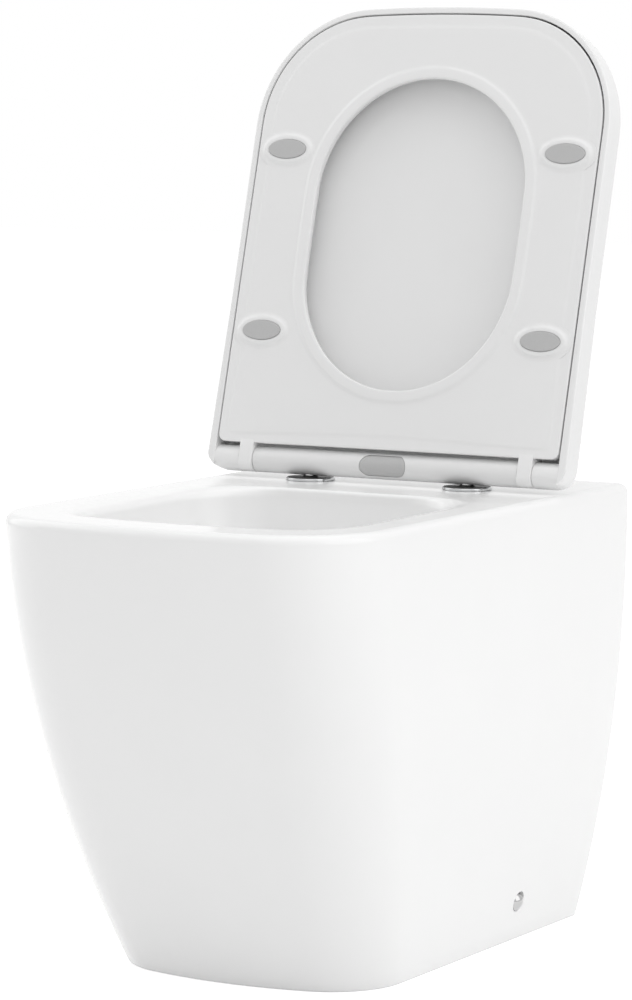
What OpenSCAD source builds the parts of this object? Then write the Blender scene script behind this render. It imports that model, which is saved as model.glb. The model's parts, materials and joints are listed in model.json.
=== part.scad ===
// Back-to-wall toilet: ceramic pan, soft-close seat and wrap-over lid on a quick-release hinge.
// Frame: +X to the viewer's right, the front faces -Y, the wall is the plane Y = 0, the floor Z = 0.
// The seat and lid are drawn raised, at their stop.

/* [Pan] */
// Width of the pan at the rim
pan_w = 346; // [336:1:356]
// Depth of the pan from the wall to the front of the rim
pan_d = 530; // [520:1:545]
// Height of the rim above the floor
pan_h = 388; // [380:1:410]
// Width of the foot on the floor
foot_w = 252; // [240:1:270]
// Depth of the foot on the floor
foot_d = 399; // [385:1:420]
// Corner radius of the rim in plan
rim_corner_r = 92; // [80:1:100]
// Corner radius of the foot in plan
foot_corner_r = 66; // [50:1:80]
// Bow of the front face in plan
front_bow = 6; // [3:0.5:9]
// How late the sides curve in towards the foot
side_power = 2.25; // [1.8:0.05:2.8]
// How late the front curves in towards the foot
front_power = 1.4; // [1.2:0.05:2]
// Radius of the rim's outer edge
edge_r = 8; // [5:0.5:10]
// Thickness of the ceramic
wall = 11; // [9:0.5:13]
// Thickness of the deck under the hinges
deck_t = 14; // [12:0.5:18]
// Height of the open back for the pipework
back_open_h = 296; // [285:1:300]

/* [Bowl] */
// Width of the rim's flat at the sides
rim_side = 39; // [36:0.5:44]
// Width of the rim's flat at the front
rim_front = 45; // [40:0.5:52]
// Distance from the wall to the back of the bowl's mouth
bowl_back = 187; // [182:1:195]
// Radius of the rim's inner lip
lip_r = 10; // [7:0.5:12]
// Front corner radius of the bowl's mouth
mouth_front_r = 64; // [56:1:72]
// Rear corner radius of the bowl's mouth
mouth_back_r = 74; // [64:1:80]
// Height of the sump's floor
sump_h = 108; // [100:1:116]
// Width of the flush opening under the bowl's rear rim
flush_w = 92; // [70:1:100]
// Height of the flush opening
flush_h = 20; // [14:1:24]

/* [Drain and flush pipe] */
// Bore of the trapway
trap_bore = 52; // [48:1:56]
// Thickness of the trapway's wall
trap_wall = 8; // [6:0.5:9]
// Height of the soil outlet's centre
outlet_h = 180; // [175:1:190]
// Outer diameter of the soil outlet
outlet_d = 102; // [100:0.5:110]
// Thickness of the soil outlet's wall
outlet_wall = 8; // [7:0.5:10]
// Distance from the wall to the end of the soil outlet
outlet_gap = 20; // [15:1:25]
// Length of the soil outlet's straight part
outlet_len = 35; // [30:1:38]
// Height of the flush inlet's centre
inlet_h = 340; // [338:0.5:342]
// Bore of the flush inlet
inlet_d = 55; // [50:0.5:56]
// Length of the flush inlet's bore
inlet_len = 70; // [50:1:80]

/* [Hinge] */
// Distance from the wall to the hinge axis
hinge_from_wall = 123.5; // [120:0.5:126]
// Height of the hinge axis above the deck
axis_h = 15.4; // [15.2:0.1:16.5]
// Diameter of the hinge bar
bar_d = 22.6; // [22:0.1:23]
// Length of the hinge bar
bar_len = 261; // [258:0.5:264]
// Spacing of the hinge posts
post_spacing = 155; // [150:0.5:160]
// Diameter of a hinge post
post_d = 9; // [8.6:0.1:9.4]
// Diameter of the groove in a hinge post
neck_d = 6; // [5.6:0.1:6.4]
// Diameter of the chrome base disc
disc_d = 43; // [38:0.5:46]
// Thickness of the chrome base disc
disc_t = 2; // [1.6:0.1:2.2]
// Thickness of the rubber flange under the disc
flange_t = 0.6; // [0.5:0.1:0.8]
// Diameter of the hinge holes in the deck
hinge_hole_d = 14; // [13:0.5:15]
// Angle between the closed and the raised seat
open_angle = 105.5; // [100:0.5:105.5]
// Diameter of a damper's cartridge
damper_d = 16.8; // [16:0.1:17]
// Length of a damper's cartridge
damper_len = 40; // [36:0.5:41]
// Diameter of the damper shafts
shaft_d = 8; // [7.6:0.1:8.4]
// Wall of the hinge bushes
bush_wall = 1.4; // [1.2:0.1:1.6]
// Running clearance of a shaft in its bush
run_gap = 0.05; // [0.03:0.01:0.08]
// Clearance between moving faces
face_gap = 0.5; // [0.4:0.05:0.7]

/* [Release button] */
// Width of the button
button_w = 45; // [42:0.5:48]
// Height of the button
button_h = 17; // [16:0.5:17.5]
// Travel of the button
button_travel = 3; // [2:0.25:3]
// Thickness of the release slides
slide_t = 3; // [2.4:0.1:3.2]
// Wire diameter of the latch clips
clip_d = 1.2; // [1:0.05:1.3]

/* [Seat] */
// Width of the seat
seat_w = 340; // [334:1:344]
// Length of the seat from the hinge axis to the front
seat_len = 407.5; // [400:0.5:415]
// Front corner radius of the seat
seat_corner_r = 98; // [85:1:105]
// Rear corner radius of the seat
seat_back_r = 7; // [5:0.5:9]
// Bow of the seat's front edge
seat_bow = 3; // [1:0.5:6]
// Width of the seat's opening
hole_w = 202; // [190:1:210]
// Distance from the hinge axis to the rear of the seat's opening
hole_back = 64.5; // [60:0.5:70]
// Distance from the seat's opening to its front edge
hole_front = 63.5; // [58:0.5:70]
// Height of the seat's top above the hinge axis
seat_top = 8; // [7:0.25:8.5]
// Clearance between a buffer and the rim with the seat down
buffer_gap = 0.3; // [0.2:0.05:0.5]
// How far the buffers stand off the seat's underside
buffer_drop = 2.6; // [2.2:0.1:3]
// Length of a seat buffer
buffer_l = 40; // [34:0.5:42]
// Width of a seat buffer
buffer_w = 18.5; // [16:0.5:20]
// Distance between the left and right buffers
buffer_spacing = 275.6; // [268:0.2:280]
// Distance from the hinge axis to the rear buffers
buffer_rear = 113.4; // [105:0.2:120]
// Distance from the hinge axis to the front buffers
buffer_front = 278.2; // [265:0.2:285]
// Width of a seat lug
lug_w = 13.5; // [12:0.5:15]
// Gap between the hinge bar and the seat's rear edge
bar_gap = 2; // [1.6:0.1:3]

/* [Lid] */
// Clearance between the seat's edge and the lid's wall
lid_gap = 1.3; // [1:0.1:1.6]
// Thickness of the lid's side wall
lid_wall = 6.2; // [5:0.1:7]
// Thickness of the lid's front wall
lid_front_wall = 4.8; // [4:0.1:6]
// Thickness of the lid's plate
lid_plate = 5.5; // [4.5:0.1:6]
// Clearance between the seat's top and the lid's plate
lid_air = 1.5; // [1.3:0.1:2]
// Radius of the lid's outer edge
lid_edge_r = 6; // [4:0.5:8]
// How far the lid's front edge rounds back
lid_front_round = 10; // [6:0.5:12]
// Radius of the lid's rear corners in plan
lid_back_r = 17; // [12:0.5:20]
// Diameter of a lid buffer
lid_buffer_d = 12; // [10:0.5:14]

/* [Floor fixings] */
// Distance from the wall to the side screws
fix_from_wall = 132; // [125:1:140]
// Height of the side screws
fix_h = 36; // [34:0.5:40]
// Diameter of the side screws
screw_d = 6; // [5:0.5:7]
// Diameter of the chrome cover caps
cap_d = 16; // [15:0.5:18]
// Width of a floor bracket
bracket_w = 40; // [34:1:46]
// Thickness of a floor bracket
bracket_t = 4; // [3:0.5:5]
// Length of a floor bracket's foot
bracket_foot = 38; // [32:1:42]
// Diameter of the floor screw hole
floor_hole_d = 9; // [7:0.5:10]

/* [Hidden] */
$fn = 64;

ceramic_white = [0.97, 0.97, 0.96];
seat_white = [0.95, 0.95, 0.95];
bar_white = [0.9, 0.9, 0.9];
soft_grey = [0.68, 0.68, 0.69];
chrome = [0.8, 0.82, 0.84];
steel = [0.72, 0.73, 0.75];
rubber_black = [0.16, 0.16, 0.17];
brass = [0.78, 0.66, 0.36];

corner_steps = 9;
bow_steps = 3;
far = 1000;

// ---- outlines and lofts ----

// One half of a rounded outline, from the middle of the front round to the back: half width hw,
// back at yb, front at yf, corner radii rf and rb. The front is a shallow arc, set back by bow where
// it runs smoothly into the corner. The side and the back edge take side_steps and back_steps points.
function half_outline(hw, yb, yf, rf, rb, bow, turn_steps, side_steps, back_steps) = let (
        reach = hw - rf,
        front_r = (reach * reach + bow * bow) / (2 * bow),
        front_y = yf + front_r,
        side_y = front_y - sqrt(pow(front_r - rf, 2) - reach * reach),
        join = atan2(side_y - front_y, reach),
        back_y = yb - rb
    ) concat(
    [for (i = [0 : bow_steps - 1]) let (a = -90 + (join + 90) * i / bow_steps)
        [front_r * cos(a), front_y + front_r * sin(a)]],
    [for (i = [0 : corner_steps]) let (a = join * (1 - i / corner_steps))
        [reach + rf * cos(a), side_y + rf * sin(a)]],
    [for (i = [1 : 1 : side_steps]) [hw, side_y + (back_y - side_y) * i / (side_steps + 1)]],
    [for (i = [0 : turn_steps]) let (a = 90 * i / turn_steps)
        [hw - rb + rb * cos(a), back_y + rb * sin(a)]],
    [for (i = [1 : 1 : back_steps]) [(hw - rb) * (1 - i / (back_steps + 1)), yb]]
);

function outline(hw, yb, yf, rf, rb, bow, turn_steps = 3, side_steps = 0, back_steps = 0) =
    let (half = half_outline(hw, yb, yf, rf, rb, bow, turn_steps, side_steps, back_steps), n = len(half))
    concat(half, [for (i = [n - 1 : -1 : 1]) [-half[i][0], half[i][1]]]);

function at_height(points, z) = [for (p = points) [p[0], p[1], z]];

// A closed solid through rings of equal length, first ring lowest.
module loft(rings) {
    n = len(rings[0]);
    last = len(rings) - 1;
    points = [for (ring = rings) each ring];
    sides = [for (k = [0 : last - 1], i = [0 : n - 1]) let (j = (i + 1) % n) each [
        [k * n + i, (k + 1) * n + i, k * n + j],
        [k * n + j, (k + 1) * n + i, (k + 1) * n + j]
    ]];
    bottom = [for (i = [0 : n - 1]) i];
    top = [for (i = [n - 1 : -1 : 0]) last * n + i];
    polyhedron(points, concat(sides, [bottom, top]));
}

// A closed ring-shaped solid: sections of equal length, joined round to the first one again.
module loop_loft(sections) {
    m = len(sections[0]);
    count = len(sections);
    points = [for (s = sections) each s];
    faces = [for (k = [0 : count - 1], i = [0 : m - 1])
        let (a = k * m, b = ((k + 1) % count) * m, j = (i + 1) % m) each [
            [a + i, a + j, b + i],
            [a + j, b + j, b + i]
        ]];
    polyhedron(points, faces);
}

// Draws its children on the left and mirrored on the right of the plane X = 0.
module on_side(side) {
    if (side == "right") children();
    else mirror([1, 0, 0]) children();
}

// A cylinder along X from x0 to x1, centred on the line y, z.
module x_cylinder(x0, x1, r, y = 0, z = 0) {
    translate([x0, y, z]) rotate([0, 90, 0]) cylinder(h = x1 - x0, r = r);
}

// A cylinder along Y from y0 to y1, centred on the line x, z.
module y_cylinder(y0, y1, r, x = 0, z = 0) {
    translate([x, y1, z]) rotate([90, 0, 0]) cylinder(h = y1 - y0, r = r);
}

// A box between two opposite corners.
module box(low, high) {
    translate(low) cube(high - low);
}

// ---- pan ----

// Fall below the rim as a share of the height: 0 at the rim, 1 on the floor.
function fall(z) = 1 - z / pan_h;
function pan_half_w(z) = pan_w / 2 - (pan_w - foot_w) / 2 * pow(fall(z), side_power);
function pan_front(z) = -(pan_d - (pan_d - foot_d) * pow(fall(z), front_power));
function pan_corner(z) = rim_corner_r + (foot_corner_r - rim_corner_r) * fall(z);

back_edge_r = 5;

function skin_ring(z, inset, back) = at_height(
    outline(pan_half_w(z) - inset, back, pan_front(z) + inset,
        pan_corner(z) - inset, back_edge_r, front_bow), z);

body_levels = [0, 0.05, 0.11, 0.18, 0.26, 0.34, 0.43, 0.52, 0.61, 0.7, 0.79, 0.87, 0.94];
edge_steps = 4;

// The outer skin of the casting with its rounded rim edge.
module pan_skin() {
    shoulder = pan_h - edge_r;
    loft(concat(
        [for (t = body_levels) skin_ring(t * shoulder, 0, 0)],
        [for (i = [0 : edge_steps]) let (a = 90 * i / edge_steps, inset = edge_r * (1 - cos(a)))
            at_height(outline(pan_half_w(shoulder) - inset, -inset / 2, pan_front(shoulder) + inset,
                pan_corner(shoulder) - inset, back_edge_r, front_bow), shoulder + edge_r * sin(a))]
    ));
}

skirt_levels = [0, 0.15, 0.3, 0.5, 0.7, 0.85, 1];

// The hollow inside the skirt, under the deck and in front of the back wall.
module pan_hollow() {
    roof = pan_h - deck_t;
    loft(concat(
        [at_height(outline(foot_w / 2 - wall, -wall, pan_front(0) + wall,
            foot_corner_r - wall, back_edge_r, front_bow), -1)],
        [for (t = skirt_levels) skin_ring(t * roof, wall, -wall)]
    ));
}

// The open back, with rounded upper corners.
module back_opening() {
    corner = 30;
    hw = foot_w / 2 - 2 * wall;
    box([-hw, -wall - 1, -1], [hw, 1, back_open_h - corner]);
    box([-hw + corner, -wall - 1, -1], [hw - corner, 1, back_open_h]);
    for (x = [-1, 1])
        y_cylinder(-wall - 1, 1, corner, x * (hw - corner), back_open_h - corner);
}

mouth_half_w = pan_w / 2 - rim_side;
throat_top = pan_h - lip_r;
sump_half_w = 30;
sump_front = -268;
sump_back = -226;

bowl_turn = 7;

// One ring of the bowl: t is 0 under the lip and 1 on the sump's floor; grow makes the outside.
function bowl_ring(t, grow) = let (
    hw = mouth_half_w - lip_r - (mouth_half_w - lip_r - sump_half_w) * pow(t, 1.3),
    yf0 = -pan_d + rim_front + lip_r,
    yb0 = -bowl_back - lip_r,
    yf = yf0 + (sump_front - yf0) * pow(t, 1.6),
    yb = yb0 + (sump_back - yb0) * t,
    rf = mouth_front_r - lip_r - (mouth_front_r - lip_r - 18) * t,
    rb = mouth_back_r - lip_r - (mouth_back_r - lip_r - 16) * t,
    z = throat_top + (sump_h - throat_top) * t
) at_height(outline(hw + grow, yb + grow, yf - grow, rf + grow, rb + grow,
    front_bow * (1 - 0.97 * t), bowl_turn), z - grow * t);

bowl_levels = [1, 0.97, 0.9, 0.8, 0.7, 0.6, 0.5, 0.4, 0.3, 0.2, 0.1, 0];
lip_steps = 4;

// The space inside the bowl, with the rolled inner lip of the rim.
module bowl_space() {
    loft(concat(
        [for (t = bowl_levels) bowl_ring(t, 0)],
        [for (i = [1 : lip_steps]) let (a = 90 * i / lip_steps, out = lip_r * (1 - cos(a)))
            at_height(outline(mouth_half_w - lip_r + out, -bowl_back - lip_r + out,
                -pan_d + rim_front + lip_r - out, mouth_front_r - lip_r + out,
                mouth_back_r - lip_r + out, front_bow, bowl_turn), throat_top + lip_r * sin(a))],
        [at_height(outline(mouth_half_w, -bowl_back, -pan_d + rim_front,
            mouth_front_r, mouth_back_r, front_bow, bowl_turn), pan_h + 2)]
    ));
}

// The outside of the bowl, hidden inside the skirt.
module bowl_shell() {
    loft([for (t = [1, 0.85, 0.7, 0.5, 0.3, 0.15, 0]) bowl_ring(t, wall)]);
}

// Centre line of the trapway in the plane X = 0: under the dip, up, and over the weir.
trap_bend = 42;
dip = [-207, 154];
climb_angle = 80;
climb = 50;
fall_angle = 45;
climb_dir = [cos(climb_angle), sin(climb_angle)];
climb_side = [sin(climb_angle), -cos(climb_angle)];
fall_dir = [sin(fall_angle), -cos(fall_angle)];
weir = dip + climb_dir * climb + climb_side * 2 * trap_bend;

function arc(centre, r, a0, a1, n) = [for (i = [0 : n]) let (a = a0 + (a1 - a0) * i / n)
    centre + r * [cos(a), sin(a)]];

weir_end = weir + trap_bend * [cos(fall_angle), sin(fall_angle)];

trap_path = concat(
    [dip + [-trap_bend - 3, 16]],
    arc(dip, trap_bend, 190, 270 + climb_angle, 8),
    arc(weir, trap_bend, 90 + climb_angle, fall_angle, 7),
    [weir_end + 4 * fall_dir, weir_end + 46 * fall_dir]
);

function unit(v) = v / norm(v);
function path_normal(path, k) = let (
    a = path[max(k - 1, 0)], b = path[min(k + 1, len(path) - 1)], d = unit(b - a)
) [-d[1], d[0]];

trap_sides = 20;

// A round tube of radius r along the trapway's centre line.
module trap_tube(r) {
    loft([for (k = [0 : len(trap_path) - 1]) let (n = path_normal(trap_path, k), c = trap_path[k])
        [for (i = [0 : trap_sides - 1]) let (a = -360 * i / trap_sides)
            [r * cos(a), c[0] + r * sin(a) * n[0], c[1] + r * sin(a) * n[1]]]]);
}

spigot_back = -outlet_gap;
collar_back = spigot_back - outlet_len;
collar_front = collar_back - 28;
collar_step = 3;
spigot_r = outlet_d / 2;
spigot_bore_r = spigot_r - outlet_wall;
inlet_r = inlet_d / 2;
inlet_wall = 9;
boss_r = 17;
side_pad_x = foot_w / 2 - wall - 0.5;
hinge_x = post_spacing / 2;
hinge_y = -hinge_from_wall;
hinge_z = pan_h + axis_h;

// The ceramic between the deck and the bowl's back, with the flush inlet's boss.
module inlet_boss_body() {
    y_cylinder(-bowl_back - lip_r, -wall / 2, inlet_r + inlet_wall, 0, inlet_h);
    box([-flush_w / 2 - wall, -bowl_back - lip_r, inlet_h - flush_h - wall],
        [flush_w / 2 + wall, hinge_y - 12, pan_h - deck_t / 2]);
}

// The trapway's outside, which ends in the soil outlet's collar.
module trap_body() {
    y_cylinder(collar_front, collar_back, spigot_r + collar_step, 0, outlet_h);
    intersection() {
        trap_tube(trap_bore / 2 + trap_wall);
        box([-spigot_r, -pan_d, 0], [spigot_r, collar_back - 1, pan_h]);
    }
}

// The flat duct that takes the flush from the inlet to the opening under the rear rim.
module flush_duct() {
    box([-flush_w / 2, -bowl_back - lip_r - 20, inlet_h - flush_h],
        [flush_w / 2, hinge_y - 24, inlet_h]);
    box([-inlet_r + 7, hinge_y - 25, inlet_h - flush_h],
        [inlet_r - 7, -inlet_len + 5, inlet_h]);
}

// The solid ceramic, before the round holes are made.
module pan_casting() {
    difference() {
        union() {
            difference() {
                pan_skin();
                pan_hollow();
                back_opening();
            }
            intersection() {
                union() {
                    bowl_shell();
                    trap_body();
                    inlet_boss_body();
                    for (side = ["left", "right"])
                        on_side(side) x_cylinder(side_pad_x, pan_w / 2, boss_r, -fix_from_wall, fix_h);
                }
                pan_skin();
            }
        }
        bowl_space();
        trap_tube(trap_bore / 2);
        flush_duct();
    }
}

screw_y = -fix_from_wall;
side_face_x = pan_half_w(fix_h - cap_d / 2 - 1) - 0.8;
washer_t = 1.6;
head_d = 9;
head_t = 2;

module pan() {
    color(ceramic_white) {
        difference() {
            union() {
                resize([0, 0, 0]) pan_casting();
                y_cylinder(collar_back - 2, spigot_back, spigot_r, 0, outlet_h);
            }
            y_cylinder(collar_front + outlet_wall, spigot_back + 1, spigot_bore_r, 0, outlet_h);
            y_cylinder(-inlet_len, 1, inlet_r, 0, inlet_h);
            for (side = ["left", "right"]) on_side(side) {
                translate([hinge_x, hinge_y, pan_h - deck_t - 5])
                    cylinder(h = deck_t + 10, d = hinge_hole_d);
                x_cylinder(side_pad_x - 5, pan_w / 2, screw_d / 2 + 2, screw_y, fix_h);
                x_cylinder(side_face_x, pan_w / 2, cap_d / 2 + 1, screw_y, fix_h);
            }
        }
    }
}

// ---- hinge posts and their fixings ----

disc_z = pan_h + flange_t;
stud_r = 3;
sleeve_len = 26;
nut_len = 9;
post_top = axis_h + 6.5;
neck_h = 2.2;

module hinge_base(side) {
    color(chrome) on_side(side) translate([hinge_x, hinge_y, disc_z]) difference() {
        union() {
            cylinder(h = disc_t * 0.5, d = disc_d);
            translate([0, 0, disc_t * 0.5])
                cylinder(h = disc_t * 0.5, d1 = disc_d, d2 = disc_d - 6 * disc_t);
        }
        translate([0, 0, -1]) cylinder(h = disc_t + 2, r = stud_r + 0.2);
    }
}

module hinge_post(side) {
    groove_low = axis_h - neck_h / 2 - flange_t - disc_t;
    color(steel) on_side(side) translate([hinge_x, hinge_y, disc_z]) {
        difference() {
            union() {
                translate([0, 0, disc_t]) cylinder(h = post_top - flange_t - disc_t - 1, d = post_d);
                translate([0, 0, post_top - flange_t - 1])
                    cylinder(h = 1, d1 = post_d, d2 = post_d - 2);
            }
            translate([0, 0, disc_t + groove_low]) difference() {
                cylinder(h = neck_h, d = post_d + 2);
                translate([0, 0, -1]) cylinder(h = neck_h + 2, d = neck_d);
            }
        }
        translate([0, 0, -sleeve_len - nut_len - 4])
            cylinder(h = sleeve_len + nut_len + 4 + disc_t, r = stud_r);
    }
}

module expansion_sleeve(side) {
    color(rubber_black) on_side(side) translate([hinge_x, hinge_y, pan_h]) difference() {
        union() {
            cylinder(h = flange_t, d = disc_d - 12);
            translate([0, 0, -sleeve_len]) cylinder(h = sleeve_len, d = hinge_hole_d - 0.4);
        }
        translate([0, 0, -sleeve_len - 1]) cylinder(h = sleeve_len + 2, r = stud_r + 0.2);
    }
}

module clamp_nut(side) {
    color(brass) on_side(side) translate([hinge_x, hinge_y, pan_h - sleeve_len - nut_len]) difference() {
        union() {
            cylinder(h = nut_len - 4, d = hinge_hole_d - 1, $fn = 6);
            translate([0, 0, nut_len - 4])
                cylinder(h = 3.7, d1 = hinge_hole_d - 1, d2 = hinge_hole_d - 4);
        }
        translate([0, 0, -1]) cylinder(h = nut_len + 2, r = stud_r + 0.05);
    }
}

// ---- hinge bar and release button ----

bar_r = bar_d / 2;
bar_half = bar_len / 2;
damper_r = damper_d / 2;
damper_in = bar_half - 1.5 - damper_len;
shaft_r = shaft_d / 2;
journal_len = 12;
play = 0.3;
pocket_half = 62;
pocket_front = -5;
pocket_back = 7;
pocket_roof = 5.8;
button_rise = 1;
button_back = pocket_front + play;
slot_half_w = 6.5;
leg_y = neck_d / 2 + clip_d / 2 + 0.1;
clip_start = hinge_x - post_d / 2 - 7;
clip_end = hinge_x + post_d / 2 + 4;

// Places its children in the frame of the hinge axis: origin on the axis, X along it.
module at_axis() {
    translate([0, hinge_y, hinge_z]) children();
}

// A stadium along X in the plane of X and Z, pushed along +Y from y0 to y1.
module stadium(w, h, y0, y1) {
    translate([0, y1, 0]) rotate([90, 0, 0]) linear_extrude(y1 - y0) {
        square([w - h, h], center = true);
        for (x = [-1, 1]) translate([x * (w - h) / 2, 0]) circle(d = h);
    }
}

module hinge_bar() {
    color(bar_white) at_axis() difference() {
        x_cylinder(-bar_half, bar_half, bar_r);
        translate([0, 0, button_rise])
            stadium(button_w + 2 * play, button_h + 2 * play, -bar_r - 1, button_back + button_travel + 0.2);
        box([-pocket_half, pocket_front, -bar_r - 1], [pocket_half, pocket_back, pocket_roof]);
        for (x = [-1, 1]) {
            x_cylinder(min(x * damper_in, x * (bar_half + 1)), max(x * damper_in, x * (bar_half + 1)),
                damper_r + 0.1);
            translate([x * hinge_x, 0, -bar_r - 1])
                cylinder(h = bar_r + 1 + post_top - axis_h + play, r = post_d / 2 + 0.1);
        }
        for (side = ["left", "right"]) on_side(side)
            box([pocket_half - 1, -slot_half_w, -slide_t / 2 - play],
                [clip_end + play, slot_half_w, slide_t / 2 + play]);
    }
}

cover_t = 2.3;
cover_gap = 0.15;

// Closes the pocket under the bar and carries on the bar's round.
module hinge_bar_cover() {
    color(bar_white) at_axis() intersection() {
        x_cylinder(-pocket_half + cover_gap, pocket_half - cover_gap, bar_r);
        box([-pocket_half + cover_gap, pocket_front + cover_gap, -bar_r - 1],
            [pocket_half - cover_gap, pocket_back - cover_gap, -bar_r + cover_t]);
    }
}

// A damper cartridge in the right end of the bar, with the bore for its shaft.
module damper_cartridge() {
    difference() {
        x_cylinder(damper_in + 0.2, damper_in + damper_len, damper_r);
        x_cylinder(damper_in + damper_len - journal_len, damper_in + damper_len + 1,
            shaft_r + run_gap);
    }
}

module seat_damper() {
    color(rubber_black) at_axis() on_side("left") damper_cartridge();
}

module lid_damper() {
    color(rubber_black) at_axis() damper_cartridge();
}

flange_half = button_w / 2 + 2.5;
button_flange = 1.2;
flange_back = button_back + button_flange;
wedge_half = 12;
wedge_depth = 7;

// The button's face follows the bar; a wedge on its back spreads the two slides.
module release_button() {
    color(soft_grey) at_axis() {
        intersection() {
            x_cylinder(-button_w, button_w, bar_r - 0.1);
            translate([0, 0, button_rise]) stadium(button_w, button_h, -bar_r, button_back);
        }
        box([-flange_half, button_back, -pocket_roof + play],
            [flange_half, flange_back, pocket_roof - play]);
        translate([0, 0, -slide_t / 2]) linear_extrude(slide_t) polygon([
            [-wedge_half, flange_back], [wedge_half, flange_back],
            [wedge_half - wedge_depth, flange_back + wedge_depth],
            [-wedge_half + wedge_depth, flange_back + wedge_depth]
        ]);
    }
}

leaf_t = 0.5;
leaf_half = 20;
leaf_z0 = slide_t / 2 + 0.5;
leaf_z1 = pocket_roof - 0.4;

// A bowed leaf that pushes the button out.
module button_spring() {
    low = flange_back + leaf_t / 2 + 0.1;
    rise = pocket_back - 0.2 - leaf_t / 2 - low;
    curve = [for (i = [-8 : 8]) let (t = i / 8) [leaf_half * t, low + rise * (1 - cos(90 * t))]];
    color(steel) at_axis() translate([0, 0, leaf_z0]) linear_extrude(leaf_z1 - leaf_z0)
        polygon(concat(
            [for (p = curve) p + [0, leaf_t / 2]],
            [for (i = [len(curve) - 1 : -1 : 0]) curve[i] - [0, leaf_t / 2]]
        ));
}

slide_gap = 0.4;
slide_front = flange_back + button_travel + slide_gap;
slide_back = slide_front + 5;
slide_in = wedge_half - (slide_front - flange_back) + slide_gap * sqrt(2);
fork_low = leg_y - clip_d / 2 - 0.15;
fork_high = post_d / 2 + 0.1;
fork_tip = fork_low - (fork_high - fork_low);

// The slide that the wedge drives outwards; its tapered end spreads the legs of the latch clip
// until they clear the post.
module release_slide(side) {
    fork_in = clip_start - button_travel;
    fork_out = clip_start + button_travel;
    color(soft_grey) at_axis() on_side(side) translate([0, 0, -slide_t / 2]) linear_extrude(slide_t)
        polygon([
            [slide_in, slide_front], [fork_in - 3, slide_front], [fork_in - 3, -fork_high],
            [fork_in, -fork_high], [fork_out, -fork_tip], [fork_out, fork_tip], [fork_in, fork_high],
            [fork_in - 3, slide_back], [slide_in - (slide_back - slide_front), slide_back]
        ]);
}

// A wire hairpin whose legs grip the groove of the post.
module latch_clip(side) {
    bend_x = clip_end - leg_y - clip_d / 2;
    color(steel) at_axis() on_side(side) {
        for (y = [-1, 1]) x_cylinder(clip_start, bend_x, clip_d / 2, y * leg_y);
        translate([bend_x, 0, 0]) rotate([0, 0, -90]) rotate_extrude(angle = 180)
            translate([leg_y, 0]) circle(d = clip_d);
    }
}

// ---- shafts and bushes ----

lug_in = bar_half + face_gap;
lug_out = lug_in + lug_w;
block_in = lug_out + face_gap;
block_out = seat_w / 2 + lid_gap + lid_wall;
key_flat = shaft_r * 0.75;
pin_r = key_flat - 0.1;
pin_end = block_in + 16;

// The end of a shaft with a flat, which keys it to its hole.
module keyed_length(x0, x1, r, flat) {
    intersection() {
        x_cylinder(x0, x1, r);
        box([x0 - 1, -r - 1, -r - 1], [x1 + 1, r + 1, flat]);
    }
}

// Turns with the seat: keyed in the left lug, and a round pin for the lid's bush.
module seat_damper_shaft() {
    color(steel) at_axis() raised() on_side("left") {
        x_cylinder(damper_in + damper_len - journal_len + 0.3, lug_in, shaft_r);
        keyed_length(lug_in, lug_out, shaft_r, key_flat);
        x_cylinder(lug_out, pin_end, pin_r);
    }
}

// Turns with the lid: round through the right lug's bush, keyed in the lid's block.
module lid_damper_shaft() {
    color(steel) at_axis() raised() {
        x_cylinder(damper_in + damper_len - journal_len + 0.3, block_in, shaft_r);
        keyed_length(block_in, pin_end, shaft_r, key_flat);
    }
}

function bush_r(r) = r + run_gap + bush_wall;

// A plain bush from x0 to x1 for a shaft of radius r.
module bush(x0, x1, r) {
    difference() {
        x_cylinder(x0, x1, bush_r(r));
        x_cylinder(x0 - 1, x1 + 1, r + run_gap);
    }
}

module seat_bush() {
    color(bar_white) at_axis() raised() bush(lug_in, lug_out, shaft_r);
}

module lid_bush() {
    color(bar_white) at_axis() raised() on_side("left") bush(block_in, pin_end + 0.5, pin_r);
}

// Turns its children from the closed position up to the stop, round the hinge axis.
module raised() {
    rotate([-open_angle, 0, 0]) children();
}

// ---- seat ----
// Drawn closed, in the frame of the hinge axis: the front is at -Y and the rim lies at Z = -axis_h.

seat_hw = seat_w / 2;
seat_rear = -bar_r - bar_gap;
seat_low = -axis_h + buffer_gap + buffer_drop;
bead_drop = 1.3;
bead_w = 9.5;
skirt_rise = 3;
hole_r = hole_w / 2;
hole_top = seat_len - hole_front;
hole_mid_back = hole_back + hole_r * 1.04;
hole_mid_front = hole_top - hole_r * 1.08;

// The opening's outline, grown by g: two half ellipses with straight sides between them.
function hole_point(a, g) = let (
    front = sin(a) < 0,
    reach = front ? hole_top - hole_mid_front + g : hole_mid_back - hole_back + g,
    mid = front ? -hole_mid_front : -hole_mid_back
) [(hole_r + g) * cos(a), mid + reach * sin(a)];

// Stations round the seat: the points of its outline, with more along the straight edges.
function seat_stations() =
    outline(seat_hw, seat_rear, -seat_len, seat_corner_r, seat_back_r, seat_bow, 3, 7, 5);

// The same turn on the opening for a point of the outer outline.
function inner_angle(p) = let (mid = -(hole_mid_back + hole_mid_front) / 2)
    atan2((p[1] - mid) / (seat_len - seat_rear) * 2, p[0] / seat_hw);

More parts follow.
